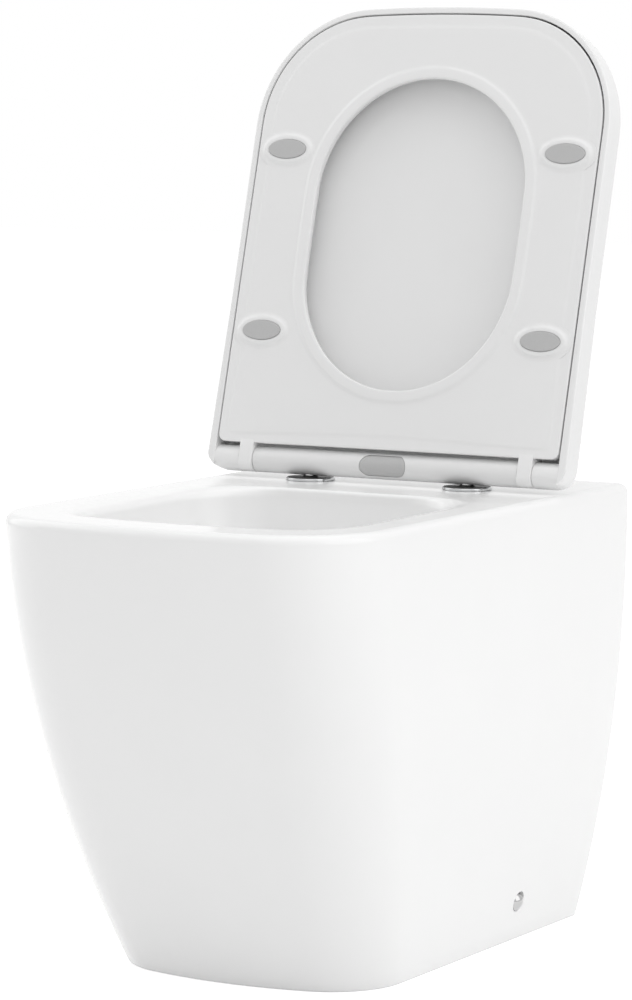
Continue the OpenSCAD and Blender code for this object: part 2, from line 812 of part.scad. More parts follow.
// Section of the seat: [share of the way from the outer edge in, distance along it, height].
// A negative share measures the distance out from the opening.
function seat_section() = [
    [0, 0, seat_low + skirt_rise],
    [0, 0, seat_top - 4],
    [0, 1.2, seat_top - 1.2],
    [0, 4, seat_top],
    [-1, 24, seat_top - 0.3],
    [-1, 15, seat_top - 1.8],
    [-1, 8, seat_top - 5.2],
    [-1, 3.4, seat_top - 10.5],
    [-1, 0.8, seat_top - 16],
    [-1, 0, seat_low + 1.2 - bead_drop],
    [-1, 1.2, seat_low - bead_drop],
    [-1, bead_w, seat_low - bead_drop],
    [-1, bead_w + 3, seat_low],
    [0, 12, seat_low],
    [0, 3, seat_low + skirt_rise - 1.6]
];

function seat_ring_sections() = [for (p = seat_stations()) let (a = inner_angle(p))
    [for (s = seat_section())
        let (q = hole_point(a, s[0] < 0 ? s[1] : 0), d = unit(hole_point(a, 0) - p))
        s[0] < 0 ? [q[0], q[1], s[2]] : [p[0] + d[0] * s[1], p[1] + d[1] * s[1], s[2]]
    ]];

oval_steps = 24;
function oval(l, w) = [for (i = [0 : oval_steps - 1]) let (a = 360 * i / oval_steps)
    [l / 2 * cos(a), w / 2 * sin(a)]];

pad_t = 1.8;
boss_h = buffer_drop - 0.8;

// Soft boss under the seat that carries a buffer.
module buffer_boss() {
    loft([
        at_height(oval(buffer_l + 5, buffer_w + 5), -boss_h),
        at_height(oval(buffer_l + 8, buffer_w + 8), -boss_h + 0.5),
        at_height(oval(buffer_l + 14, buffer_w + 14), 0),
        at_height(oval(buffer_l + 14, buffer_w + 14), 2)
    ]);
}

// Places its children under one buffer seat of the closed seat; row is "front" or "rear".
module at_buffer(side, row) {
    y = row == "front" ? -buffer_front : -buffer_rear;
    x = (side == "right" ? 1 : -1) * buffer_spacing / 2;
    translate([x, y, seat_low]) children();
}

lug_flat = -seat_low - 0.6;
lug_round = 7;

// A lug that carries the seat on its shaft: flat below, round behind.
module seat_lug() {
    x_cylinder(lug_in, lug_out, bar_r);
    x_cylinder(lug_in, lug_out, lug_round, bar_r - lug_round, -lug_flat + lug_round);
    box([lug_in, seat_rear - 6, -lug_flat], [lug_out, bar_r - lug_round, 0]);
    box([lug_in, seat_rear - 6, -lug_flat + lug_round], [lug_out, bar_r, 0]);
    box([lug_in, seat_rear - 6, 0], [lug_out, 0, seat_top - 1]);
}

module seat() {
    color(seat_white) at_axis() raised() difference() {
        union() {
            resize([0, 0, 0]) difference() {
                union() {
                    loop_loft(seat_ring_sections());
                    for (side = ["left", "right"], row = ["front", "rear"])
                        at_buffer(side, row) buffer_boss();
                }
                for (side = ["left", "right"], row = ["front", "rear"]) at_buffer(side, row)
                    translate([0, 0, -boss_h - 1]) linear_extrude(1 + pad_t - 0.8)
                        polygon(oval(buffer_l, buffer_w));
            }
            seat_lug();
            on_side("left") seat_lug();
        }
        x_cylinder(lug_in - 1, lug_out + 1, bush_r(shaft_r));
        on_side("left") keyed_length(lug_in - 1, lug_out + 1, shaft_r, key_flat);
    }
}

module seat_buffer(side, row) {
    color(soft_grey) at_axis() raised() at_buffer(side, row)
        translate([0, 0, -buffer_drop]) linear_extrude(pad_t) polygon(oval(buffer_l, buffer_w));
}

// ---- lid ----
// Drawn closed, in the frame of the hinge axis.

lid_in_hw = seat_hw + lid_gap;
lid_roof = seat_top + lid_air;
lid_top = lid_roof + lid_plate;
lid_low = seat_low + skirt_rise + 0.5;
lid_in_front = -seat_len - lid_gap;
lid_out_front = lid_in_front - lid_front_wall;
lid_rear = bar_r;
lid_corner_r = seat_corner_r + lid_gap;
lid_edge_steps = 4;

// Outline of the lid's outside, drawn in by side, front and back.
function lid_ring(side, front, back, z) = at_height(outline(block_out - side, lid_rear - back,
    lid_out_front + front, lid_corner_r + lid_wall - side, lid_back_r - side, seat_bow, 6), z);

module lid_outside() {
    loft(concat(
        [lid_ring(0.8, 0.8, 0.8, lid_low), lid_ring(0, 0, 0, lid_low + 1)],
        [for (i = [0 : lid_edge_steps]) let (a = 90 * i / lid_edge_steps, in = 1 - cos(a))
            lid_ring(lid_edge_r * in, lid_front_round * in, lid_edge_r * in,
                lid_top - lid_edge_r * (1 - sin(a)))]
    ));
}

module lid_inside() {
    loft([
        at_height(outline(lid_in_hw, far, lid_in_front, lid_corner_r, 5, seat_bow), lid_low - 1),
        at_height(outline(lid_in_hw, far, lid_in_front, lid_corner_r, 5, seat_bow), lid_roof - 2),
        at_height(outline(lid_in_hw - 0.7, far, lid_in_front + 0.7, lid_corner_r - 0.7, 5, seat_bow), lid_roof - 0.7),
        at_height(outline(lid_in_hw - 2, far, lid_in_front + 2, lid_corner_r - 2, 5, seat_bow), lid_roof)
    ]);
}

// Plan of a corner block, inside the lid's outline by skin.
module block_plan(skin) {
    depth = bar_r + lid_rear - lid_back_r;
    translate([block_in, -bar_r]) square([block_out - lid_back_r - block_in, bar_r + lid_rear - skin]);
    translate([block_in, -bar_r]) square([block_out - skin - block_in, depth]);
    translate([block_out - lid_back_r, lid_rear - lid_back_r]) circle(r = lid_back_r - skin);
}

// The corner block that the lid turns on: round below, square where it meets the plate.
module lid_block() {
    intersection() {
        union() {
            x_cylinder(block_in, block_out, bar_r);
            box([block_in, -bar_r, 0], [block_out, lid_rear, lid_roof + 0.3]);
        }
        linear_extrude(4 * bar_r, center = true) block_plan(0.1);
    }
}

module lid() {
    color(seat_white) at_axis() raised() difference() {
        union() {
            resize([0, 0, 0]) difference() {
                lid_outside();
                lid_inside();
                box([-block_in, -bar_r - 1.5, lid_low - 1], [block_in, far, lid_top + 1]);
            }
            lid_block();
            on_side("left") lid_block();
        }
        keyed_length(block_in - 1, pin_end + 0.3, shaft_r, key_flat);
        on_side("left") x_cylinder(block_in - 1, pin_end + 0.5, shaft_r + run_gap + bush_wall);
    }
}

module lid_buffer(side) {
    color(soft_grey) at_axis() raised() on_side(side)
        translate([seat_hw - 60, -seat_len + 32, seat_top + 0.3])
            cylinder(h = lid_roof - seat_top - 0.3, d = lid_buffer_d);
}

// ---- floor fixings ----

bracket_x = side_pad_x - 0.2;
bracket_h = fix_h + 17;
nut_w = 10;
nut_t = 5;

// A plastic angle inside the skirt: screwed to the floor, and the pan is screwed to it.
module floor_bracket(side) {
    color(soft_grey) on_side(side) translate([0, screw_y, 0]) difference() {
        union() {
            box([bracket_x - bracket_t, -bracket_w / 2, 0], [bracket_x, bracket_w / 2, bracket_h]);
            box([bracket_x - bracket_foot, -bracket_w / 2, 0], [bracket_x, bracket_w / 2, bracket_t]);
            for (y = [-1, 1]) translate([0, y * (bracket_w / 2 - 1.5) + 1.5, 0]) rotate([90, 0, 0])
                linear_extrude(3) polygon([
                    [bracket_x - bracket_foot, 0], [bracket_x - bracket_t / 2, 0],
                    [bracket_x - bracket_t / 2, bracket_h], [bracket_x - bracket_t, bracket_h]
                ]);
            x_cylinder(bracket_x - bracket_t - nut_t, bracket_x, nut_w / 2 + 3, 0, fix_h);
        }
        x_cylinder(bracket_x - bracket_t - nut_t - 1, bracket_x + 1, screw_d / 2 + 0.3, 0, fix_h);
        translate([bracket_x - bracket_t - nut_t - 1, 0, fix_h]) rotate([0, 90, 0])
            cylinder(h = nut_t + 1, d = nut_w / cos(30), $fn = 6);
        translate([bracket_x - bracket_foot / 2 - 2, 0, -1]) cylinder(h = bracket_t + 2, d = floor_hole_d);
    }
}

module bracket_nut(side) {
    color(steel) on_side(side) translate([0, screw_y, fix_h]) difference() {
        translate([bracket_x - bracket_t - nut_t, 0, 0]) rotate([0, 90, 0])
            cylinder(h = nut_t - 0.2, d = nut_w / cos(30) - 0.2, $fn = 6);
        x_cylinder(bracket_x - bracket_t - nut_t - 1, bracket_x, screw_d / 2 + 0.05);
    }
}

head_x = side_face_x + washer_t;

module side_screw(side) {
    color(steel) on_side(side) translate([0, screw_y, fix_h]) {
        x_cylinder(bracket_x - bracket_t - nut_t - 4, head_x + head_t, screw_d / 2);
        x_cylinder(head_x, head_x + head_t, head_d / 2);
    }
}

module cap_washer(side) {
    color(bar_white) on_side(side) translate([0, screw_y, fix_h]) difference() {
        union() {
            x_cylinder(side_face_x, head_x, cap_d / 2);
            x_cylinder(head_x, head_x + 1.2, cap_d / 2 - 2.2);
        }
        x_cylinder(side_face_x - 1, head_x, screw_d / 2 + 0.2);
        x_cylinder(head_x, head_x + 2, head_d / 2 + 0.2);
    }
}

cap_h = 5;
cap_wall = 1;

// Quarter section of a dome of height h over a round of radius r.
module dome_section(r, h) {
    big_r = (r * r + h * h) / (2 * h);
    intersection() {
        translate([0, h - big_r]) circle(r = big_r);
        square([r, h]);
    }
}

// Domed cap that snaps over the washer.
module cover_cap(side) {
    color(chrome) on_side(side) translate([head_x + 0.05, screw_y, fix_h]) rotate([0, 90, 0])
        rotate_extrude() difference() {
            dome_section(cap_d / 2, cap_h);
            translate([0, -0.001]) dome_section(cap_d / 2 - cap_wall, cap_h - cap_wall);
        }
}

pan();
hinge_base("left");  // hinge_base_left
hinge_base("right");  // hinge_base_right
hinge_post("left");  // hinge_post_left
hinge_post("right");  // hinge_post_right
expansion_sleeve("left");  // expansion_sleeve_left
expansion_sleeve("right");  // expansion_sleeve_right
clamp_nut("left");  // clamp_nut_left
clamp_nut("right");  // clamp_nut_right
hinge_bar();
hinge_bar_cover();
seat_damper();
lid_damper();
seat_damper_shaft();
lid_damper_shaft();
seat_bush();
lid_bush();
release_button();
button_spring();
release_slide("left");  // release_slide_left
release_slide("right");  // release_slide_right
latch_clip("left");  // latch_clip_left
latch_clip("right");  // latch_clip_right
seat();
seat_buffer("left", "front");  // seat_buffer_front_left
seat_buffer("right", "front");  // seat_buffer_front_right
seat_buffer("left", "rear");  // seat_buffer_rear_left
seat_buffer("right", "rear");  // seat_buffer_rear_right
lid();
lid_buffer("left");  // lid_buffer_left
lid_buffer("right");  // lid_buffer_right
floor_bracket("left");  // floor_bracket_left
floor_bracket("right");  // floor_bracket_right
bracket_nut("left");  // bracket_nut_left
bracket_nut("right");  // bracket_nut_right
side_screw("left");  // side_screw_left
side_screw("right");  // side_screw_right
cap_washer("left");  // cap_washer_left
cap_washer("right");  // cap_washer_right
cover_cap("left");  // cover_cap_left
cover_cap("right");  // cover_cap_right
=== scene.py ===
"""Back-to-wall toilet with its seat and lid raised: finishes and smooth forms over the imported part."""

import json
import math

import bmesh
import bpy
from mathutils import Matrix, Vector


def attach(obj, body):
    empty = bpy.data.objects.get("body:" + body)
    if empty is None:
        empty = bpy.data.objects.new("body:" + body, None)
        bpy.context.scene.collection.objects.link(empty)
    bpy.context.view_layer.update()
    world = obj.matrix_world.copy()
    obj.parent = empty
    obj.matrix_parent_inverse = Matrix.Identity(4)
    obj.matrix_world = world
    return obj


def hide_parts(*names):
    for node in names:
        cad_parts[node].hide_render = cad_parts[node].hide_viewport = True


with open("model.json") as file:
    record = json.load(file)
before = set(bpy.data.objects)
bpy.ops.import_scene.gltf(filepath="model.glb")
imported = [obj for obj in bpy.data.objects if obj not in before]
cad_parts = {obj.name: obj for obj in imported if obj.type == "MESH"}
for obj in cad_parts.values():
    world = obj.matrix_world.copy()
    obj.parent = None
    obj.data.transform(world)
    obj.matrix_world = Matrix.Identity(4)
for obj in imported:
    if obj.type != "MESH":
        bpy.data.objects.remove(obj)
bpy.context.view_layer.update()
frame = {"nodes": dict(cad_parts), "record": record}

MM = 0.001
QUARTER = math.pi / 2

# ---- sizes, in millimetres; the seat and lid are drawn up to 5 mm smaller than the part's own ----

# the pan's skirt, deck and rear opening
PAN_W, PAN_D, PAN_H = 346.0, 530.0, 388.0
FOOT_W, FOOT_D = 252.0, 399.0
RIM_CORNER, FOOT_CORNER, BACK_CORNER = 92.0, 66.0, 5.0
FRONT_BOW, SIDE_POWER, FRONT_POWER = 6.0, 2.25, 1.4
EDGE_R, WALL, DECK_T, FOOT_EDGE = 8.0, 11.0, 14.0, 1.5
BACK_OPEN_H, BACK_OPEN_R = 296.0, 30.0

# the bowl's mouth and lip, the sump that it falls to, and how it narrows on the way
MOUTH_W, MOUTH_FRONT, MOUTH_BACK = 134.0, -485.0, -187.0
MOUTH_R_FRONT, MOUTH_R_BACK = 64.0, 74.0
LIP_R, LIP_SIDE, LIP_BACK = 10.0, 18.0, 3.0
SUMP_W, SUMP_FRONT, SUMP_BACK, SUMP_Z = 30.0, -268.0, -226.0, 108.0
SUMP_R_FRONT, SUMP_R_BACK = 18.0, 16.0
BOWL_SIDE_POWER, BOWL_FRONT_POWER = 1.3, 1.6

# where the bowl meets the deck's underside, ends its wall and turns to its floor, as shares of its depth
UNDER_DECK, BOWL_END, FLOOR_SHARE = 0.0142, 0.97, 0.985

# the trapway and outlet, with the bends' angles in degrees
TRAP_BORE, TRAP_WALL, TRAP_BEND = 26.0, 8.0, 42.0
DIP_Y, DIP_Z, DIP_ENTRY = -207.0, 154.0, 190.0
TRAP_CLIMB, TRAP_RISE, TRAP_DROP, DROP_LEN = 80.0, 50.0, 45.0, 46.0
OUTLET_Z, OUTLET_R, OUTLET_WALL, OUTLET_BACK, COLLAR_BACK = 180.0, 51.0, 8.0, -20.0, -55.0

# the flush inlet and its duct to the slot in the bowl
INLET_Z, INLET_R, INLET_LEN = 340.0, 27.5, 70.0
FLUSH_W, FLUSH_H, DUCT_FRONT, DUCT_BACK = 92.0, 20.0, -217.0, -147.5
BOSS_FRONT, BOSS_BACK = -190.0, -135.5

# the side screws with their pads and caps, and the post holes
FIX_Y, FIX_Z, SIDE_FACE, SCREW_HOLE_R, POST_HOLE_R = -132.0, 36.0, 132.2, 5.0, 7.0
PAD_R, PAD_IN, PAD_OUT = 17.0, 114.5, 126.0
CAP_R, CAP_X, CAP_RISE, CAP_WALL = 8.0, 133.85, 5.0, 1.0

# the hinge line and the lid's angle in degrees, the bar, posts and discs, and what turns beside the bar
AXIS_Y, AXIS_Z, OPEN_ANGLE = -123.5, 403.4, 105.5
BAR_R, BAR_HALF, POST_X, POST_R = 11.3, 130.5, 77.5, 4.5
SOCKET_TOP, DAMPER_R, DAMPER_IN = 6.8, 8.5, 89.0
DISC_Z, DISC_R, DISC_BORE = 388.6, 21.5, 4.6
BUTTON_W, BUTTON_H, BUTTON_RISE, BUTTON_GAP = 45.0, 17.0, 1.0, 0.8
LUG_IN, LUG_OUT, LUG_HEEL = 131.0, 144.5, 7.0
BLOCK_IN, BLOCK_OUT = 145.0, 177.0

# the seat, its opening and its buffers, drawn closed about the hinge line
SEAT_W, SEAT_LEN, SEAT_REAR = 168.0, 402.5, 12.7
SEAT_TOP, SEAT_LOW = 8.0, -12.5
SEAT_CORNER, SEAT_BACK_CORNER, SEAT_BOW = 98.0, 7.0, 1.7
HOLE_R, HOLE_BACK, HOLE_FRONT, HOLE_REAR_REACH = 103.0, 64.5, 344.0, 107.12
BUFFER_X, BUFFER_ROWS, BUFFER_L, BUFFER_W = 137.8, (113.4, 278.2), 40.0, 18.5

# the lid, drawn the same way
LID_GAP, LID_ROOF, LID_TOP, LID_LOW, LID_LIP = 1.3, 9.5, 15.0, -11.5, 1.8
LID_FRONT_WALL, LID_EDGE, LID_FRONT_EDGE, LID_INNER_EDGE = 5.6, 6.0, 10.0, 3.0
LID_BACK_CORNER, LID_TAPER, LID_TAPER_END = 17.0, 0.011, 150.0

# points along half an outline: front, front corner, side, back corner, back
PAN_STEPS = (8, 16, 12, 7, 8)
SEAT_STEPS = (5, 14, 12, 5, 9)
LID_STEPS = (6, 20, 14, 10, 8)


# ---- materials ----


class Signal:
    """One output socket; plain arithmetic on it adds the Math nodes."""

    def __init__(self, nodes, socket):
        self.nodes = nodes
        self.socket = socket

    def maths(self, operation, other):
        return self.nodes.node("ShaderNodeMath", {"operation": operation}, {0: self, 1: other})

    def __add__(self, other):
        return self.maths("ADD", other)

    def __mul__(self, other):
        return self.maths("MULTIPLY", other)

    __radd__ = __add__
    __rmul__ = __mul__

    def either(self, other):
        """The larger of two signals."""
        return self.maths("MAXIMUM", other)


class Nodes:
    """A node tree that is being written."""

    def __init__(self, tree):
        self.tree = tree
        tree.nodes.clear()

    def node(self, kind, settings=None, values=None, output=0):
        made = self.tree.nodes.new(kind)
        for name, setting in (settings or {}).items():
            setattr(made, name, setting)
        for name, value in (values or {}).items():
            if isinstance(value, Signal):
                self.tree.links.new(value.socket, made.inputs[name])
            else:
                made.inputs[name].default_value = value
        return Signal(self, made.outputs[output])

    def ray(self, kind):
        """1 on rays of one kind, such as Camera, and 0 on the others."""
        return self.node("ShaderNodeLightPath", output=f"Is {kind} Ray")

    def end(self, kind, surface):
        out = self.tree.nodes.new(kind)
        self.tree.links.new(surface.socket, out.inputs["Surface"])


class Finish(Nodes):
    """A material and the patterns that the finishes share."""

    def __init__(self, name):
        self.material = bpy.data.materials.new(name)
        self.material.use_nodes = True
        super().__init__(self.material.node_tree)

    def cloud(self, scale, detail=2.0, stretch=(1.0, 1.0, 1.0)):
        """Soft noise over the piece, with features of about 1 / scale metres."""
        place = self.node("ShaderNodeTexCoord", output="Object")
        scaled = self.node("ShaderNodeMapping", None, {"Vector": place, "Scale": stretch})
        return self.node("ShaderNodeTexNoise", None, {"Vector": scaled, "Scale": scale, "Detail": detail})

    def blend(self, share, first, second):
        """A colour between two colours."""
        values = {"Factor": share, 6: first, 7: second}
        return self.node("ShaderNodeMix", {"data_type": "RGBA"}, values, output=2)

    def bump(self, height, distance, strength, under=None):
        """A normal raised by height, on top of the bump under it."""
        values = {"Height": height, "Distance": distance, "Strength": strength}
        if under is not None:
            values["Normal"] = under
        return self.node("ShaderNodeBump", None, values)

    def surfaced(self, values):
        """Ends the material with a Principled surface that takes these values."""
        self.end("ShaderNodeOutputMaterial", self.node("ShaderNodeBsdfPrincipled", None, values))
        return self.material


def grey(level, tint=(1.0, 1.0, 1.0)):
    return (level * tint[0], level * tint[1], level * tint[2], 1.0)


def glazed_ceramic():
    """White glaze: very shallow waves from the firing, and a hair of orange peel."""
    f = Finish("glazed_ceramic")
    waves = f.bump(f.cloud(9.0, 1.0), 0.0006, 0.5)
    return f.surfaced({
        "Base Color": f.blend(f.cloud(14.0, 3.0), grey(0.885), grey(0.905, (1.0, 1.0, 0.998))),
        "Roughness": 0.15 + 0.06 * f.cloud(40.0, 3.0),
        "IOR": 1.52,
        "Normal": f.bump(f.cloud(260.0), 0.00003, 0.4, waves),
    })


def gloss_plastic(name, level, rough):
    """Pressed white plastic, polished, with the faint drift of a moulded face."""
    f = Finish(name)
    drift = f.bump(f.cloud(9.0, 0.0), 0.0002, 0.3)
    return f.surfaced({
        "Base Color": f.blend(f.cloud(18.0), grey(level), grey(level + 0.02)),
        "Roughness": rough + 0.06 * f.cloud(60.0, 3.0),
        "IOR": 1.5,
        "Normal": f.bump(f.cloud(420.0), 0.00001, 0.3, drift),
    })


def matt_plastic(name, level, grain):
    """Moulded plastic or rubber with a fine spark-eroded grain."""
    f = Finish(name)
    fine = f.cloud(grain, 3.0)
    return f.surfaced({
        "Base Color": f.blend(fine, grey(level * 0.95), grey(level * 1.05)),
        "Roughness": 0.42 + 0.16 * fine,
        "IOR": 1.45,
        "Normal": f.bump(fine, 0.00006, 0.5),
    })


def metal(name, colour, rough, scratch, streak=(1.0, 1.0, 1.0)):
    """Bare or plated metal with polishing or turning marks."""
    f = Finish(name)
    marks = f.cloud(scratch, 3.0, streak)
    dark = tuple(c * 0.93 for c in colour[:3]) + (1.0,)
    return f.surfaced({
        "Base Color": f.blend(marks, colour, dark),
        "Metallic": 1.0,
        "Roughness": rough + rough * marks,
        "Normal": f.bump(marks, 0.00001, 0.25),
    })


LATHE_MARKS = (1.0, 1.0, 8.0)

satin_chrome = metal("satin_chrome", grey(0.47), 0.10, 90.0)
SLOT_MATERIALS = {
    "ceramic": glazed_ceramic(),
    "seat_plastic": gloss_plastic("seat_plastic_white", 0.80, 0.14),
    "bar_plastic": gloss_plastic("bar_plastic_white", 0.745, 0.29),
    "button_grey": matt_plastic("button_satin_grey", 0.475, 900.0),
    "soft_grey": matt_plastic("buffer_soft_grey", 0.485, 700.0),
    "black_rubber": matt_plastic("black_rubber", 0.03, 600.0),
    "inner_plastic": matt_plastic("engineering_plastic", 0.5, 500.0),
    "chrome": metal("polished_chrome", grey(0.50, (0.99, 1.0, 1.01)), 0.05, 90.0),
    "steel": metal("stainless_steel", grey(0.62), 0.12, 120.0, LATHE_MARKS),
    "brass": metal("turned_brass", (0.75, 0.58, 0.28, 1.0), 0.12, 120.0, LATHE_MARKS),
}
for row in frame["record"]["subparts"]:
    node = frame["nodes"][row["node"]]
    node.data.materials.clear()
    node.data.materials.append(SLOT_MATERIALS[row["material_slot"]])


# ---- outlines ----


def between(start, end, share):
    return start + (end - start) * share


def shares(count, first=1):
    """The steps first / count to 1."""
    return [i / count for i in range(first, count + 1)]


def turns(start, end, count, first=0):
    """The (cosine, sine) of even steps from one angle to another, in radians."""
    angles = [between(start, end, share) for share in shares(count, first)]
    return [(math.cos(a), math.sin(a)) for a in angles]


def plan(half_w, back, front, r_front, r_back, bow, steps=PAN_STEPS):
    """A rounded outline seen from above, from the middle of the front round to the right and back.
    The front is a shallow arc that runs smoothly into the corner arcs."""
    bow_n, turn_n, side_n, back_turn_n, back_n = steps
    reach = half_w - r_front
    big = (reach * reach + bow * bow) / (2 * bow)
    rise = math.sqrt(max((big - r_front) ** 2 - reach * reach, 0.0))
    centre_y = front + big - rise
    join = math.atan2(-rise, reach)
    half = [(big * c, front + big + big * s) for c, s in turns(-QUARTER, join, bow_n)[:-1]]
    half += [(reach + r_front * c, centre_y + r_front * s) for c, s in turns(join, 0, turn_n)]
    half += [(half_w, between(centre_y, back - r_back, t)) for t in shares(side_n + 1)[:-1]]
    half += [(half_w - r_back + r_back * c, back - r_back + r_back * s)
             for c, s in turns(0, QUARTER, back_turn_n)]
    half += [((half_w - r_back) * (1 - t), back) for t in shares(back_n + 1)[:-1]]
    return half + [(-x, y) for x, y in reversed(half[1:])]


def at(z, outline):
    return [(x, y, z) for x, y in outline]


def oval(length, width, z):
    return [(length / 2 * c, width / 2 * s, z) for c, s in turns(0, 4 * QUARTER, 72)[:-1]]


# ---- modelling helpers ----


def closed(mesh):
    """Merges doubles and turns the faces outwards."""
    bmesh.ops.remove_doubles(mesh, verts=mesh.verts, dist=0.0005)
    bmesh.ops.recalc_face_normals(mesh, faces=mesh.faces)
    return mesh


class Skin:
    """A surface grown ring by ring: each ring is extruded from the last one and moved to its places."""

    def __init__(self, places):
        self.mesh = bmesh.new()
        made = bmesh.ops.create_circle(self.mesh, segments=len(places), radius=1.0)
        self.ring = made["verts"]
        self.first = [Vector(p) for p in places]
        for vert, place in zip(self.ring, places):
            vert.co = place

    def edges(self):
        following = self.ring[1:] + self.ring[:1]
        return [self.mesh.edges.get(pair) for pair in zip(self.ring, following)]

    def grow(self, places):
        made = bmesh.ops.extrude_edge_only(self.mesh, edges=self.edges())
        fresh = {v for v in made["geom"] if isinstance(v, bmesh.types.BMVert)}
        following = []
        for vert in self.ring:
            others = [edge.other_vert(vert) for edge in vert.link_edges]
            following.append(next(other for other in others if other in fresh))
        self.ring = following
        for vert, place in zip(self.ring, places):
            vert.co = place
        return self

    def cap(self):
        bmesh.ops.contextual_create(self.mesh, geom=self.edges())
        return self

    def cap_first(self):
        """Fills the first ring, the only open one once the last is capped."""
        open_edges = [e for e in self.mesh.edges if len(e.link_faces) == 1]
        bmesh.ops.contextual_create(self.mesh, geom=open_edges)
        return self

    def meet(self):
        """Joins the last ring to the first one."""
        return self.grow(self.first)


def lofted(rings):
    """A closed solid through rings, flat at both ends."""
    skin = Skin(rings[0])
    for ring in rings[1:]:
        skin.grow(ring)
    skin.cap().cap_first()
    return closed(skin.mesh)


def turned(profile, steps=96):
    """A round shell from a closed profile of (radius, height), spun about Z."""
    mesh = bmesh.new()
    verts = [mesh.verts.new((r, 0.0, z)) for r, z in profile]
    edges = [mesh.edges.new(pair) for pair in zip(verts, verts[1:])]
    bmesh.ops.spin(
        mesh, geom=verts + edges, cent=(0, 0, 0), axis=(0, 0, 1), angle=4 * QUARTER, steps=steps,
        use_merge=True,
    )
    return closed(mesh)


def span(edge):
    return edge.verts[1].co - edge.verts[0].co


def bevelled(mesh, edges, radius, segments=3):
    bmesh.ops.bevel(
        mesh, geom=edges, offset=radius, affect="EDGES", segments=segments, profile=0.5, material=-1
    )
    return mesh


def rod(radius, start, end, steps=96):
    """A plain cylinder between two points."""
    mesh = bmesh.new()
    a, b = Vector(start), Vector(end)
    turn = (b - a).to_track_quat("Z", "Y").to_matrix().to_4x4()
    bmesh.ops.create_cone(
        mesh, cap_ends=True, segments=steps, radius1=radius, radius2=radius, depth=(b - a).length,
        matrix=Matrix.Translation((a + b) / 2) @ turn,
    )
    return mesh


def block(low, high, edge=0.0):
    """A box between two corners, its edges rounded by edge."""
    mesh = bmesh.new()
    a, b = Vector(low), Vector(high)
    bmesh.ops.create_cube(mesh, size=1.0)
    bmesh.ops.scale(mesh, vec=b - a, verts=mesh.verts)
    bmesh.ops.translate(mesh, vec=(a + b) / 2, verts=mesh.verts)
    return bevelled(mesh, mesh.edges[:], edge) if edge else mesh


def pushed(points, along, edge=0.0):
    """A flat shape of a few corner points, pushed along a vector, with its rims rounded by edge."""
    mesh = bmesh.new()
    face = mesh.faces.new([mesh.verts.new(p) for p in points])
    made = bmesh.ops.extrude_face_region(mesh, geom=[face])
    far = [v for v in made["geom"] if isinstance(v, bmesh.types.BMVert)]
    bmesh.ops.translate(mesh, vec=along, verts=far)
    closed(mesh)
    rims = [e for e in mesh.edges if abs(span(e).dot(Vector(along))) < 1e-6]
    return bevelled(mesh, rims, edge) if edge else mesh


def moved(mesh, place):
    mesh.transform(Matrix.Translation(place))
    return mesh


def at_hinge(mesh):
    return moved(mesh, (0, AXIS_Y, AXIS_Z))


RAISED = Matrix.Translation((0, AXIS_Y, AXIS_Z)) @ Matrix.Rotation(-math.radians(OPEN_ANGLE), 4, "X")


def raised(mesh):
    """Turns a mesh drawn closed about the hinge axis up to the stop."""
    mesh.transform(RAISED)
    return mesh


def both_sides(make):
    """Two meshes: one on the right, and its mirror on the left."""
    right, left = make(), make()
    left.transform(Matrix.Scale(-1, 4, (1, 0, 0)))
    bmesh.ops.reverse_faces(left, faces=left.faces)
    return right, left


def merged(*meshes):
    """Several closed meshes as one."""
    whole = bmesh.new()
    for mesh in meshes:
        carried = bpy.data.meshes.new("carried")
        mesh.to_mesh(carried)
        whole.from_mesh(carried)
        bpy.data.meshes.remove(carried)
        mesh.free()
    return whole


def as_object(name, mesh):
    data = bpy.data.meshes.new(name)
    mesh.to_mesh(data)
    mesh.free()
    made = bpy.data.objects.new(name, data)
    bpy.context.scene.collection.objects.link(made)
    return made


def carved(mesh, *steps):
    """Cuts a closed mesh with others, or joins them to it: steps are (operation, mesh)."""
    body = as_object("carving", mesh)
    tools = [as_object("tool", tool) for _, tool in steps]
    for (operation, _), tool in zip(steps, tools):
        cut = body.modifiers.new(operation.lower(), "BOOLEAN")
        cut.operation = operation
        cut.object = tool
        cut.solver = "EXACT"
    bpy.context.view_layer.update()
    data = bpy.data.meshes.new_from_object(body.evaluated_get(bpy.context.evaluated_depsgraph_get()))
    result = bmesh.new()
    result.from_mesh(data)
    bpy.data.meshes.remove(data)
    for thing in [body, *tools]:
        bpy.data.objects.remove(thing)
    return result


def piece(name, mesh, body, slot, stands_for, levels=0, sharp=38.0, finish=None):
    """Turns a mesh in millimetres into a finished piece that rides on a body."""
    bmesh.ops.scale(mesh, vec=(MM, MM, MM), verts=mesh.verts)
    made = as_object(name, mesh)
    for face in made.data.polygons:
        face.use_smooth = True
    made.data.set_sharp_from_angle(angle=math.radians(sharp))
    made.data.materials.append(finish or SLOT_MATERIALS[slot])
    if levels:
        smooth = made.modifiers.new("smooth", "SUBSURF")
        smooth.levels = smooth.render_levels = levels
    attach(made, body)
    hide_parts(stands_for)


# ---- the ceramic pan ----


def skin_ring(z, inset, back, shape_z=None):
    """One level of the pan's outside, or of another level's outline where shape_z is given."""
    fall = 1 - (z if shape_z is None else shape_z) / PAN_H
    half_w = between(PAN_W / 2, FOOT_W / 2, fall ** SIDE_POWER)
    front = between(-PAN_D, -FOOT_D, fall ** FRONT_POWER)
    corner = between(RIM_CORNER, FOOT_CORNER, fall)
    return at(z, plan(half_w - inset, back, front + inset, corner - inset, BACK_CORNER, FRONT_BOW))


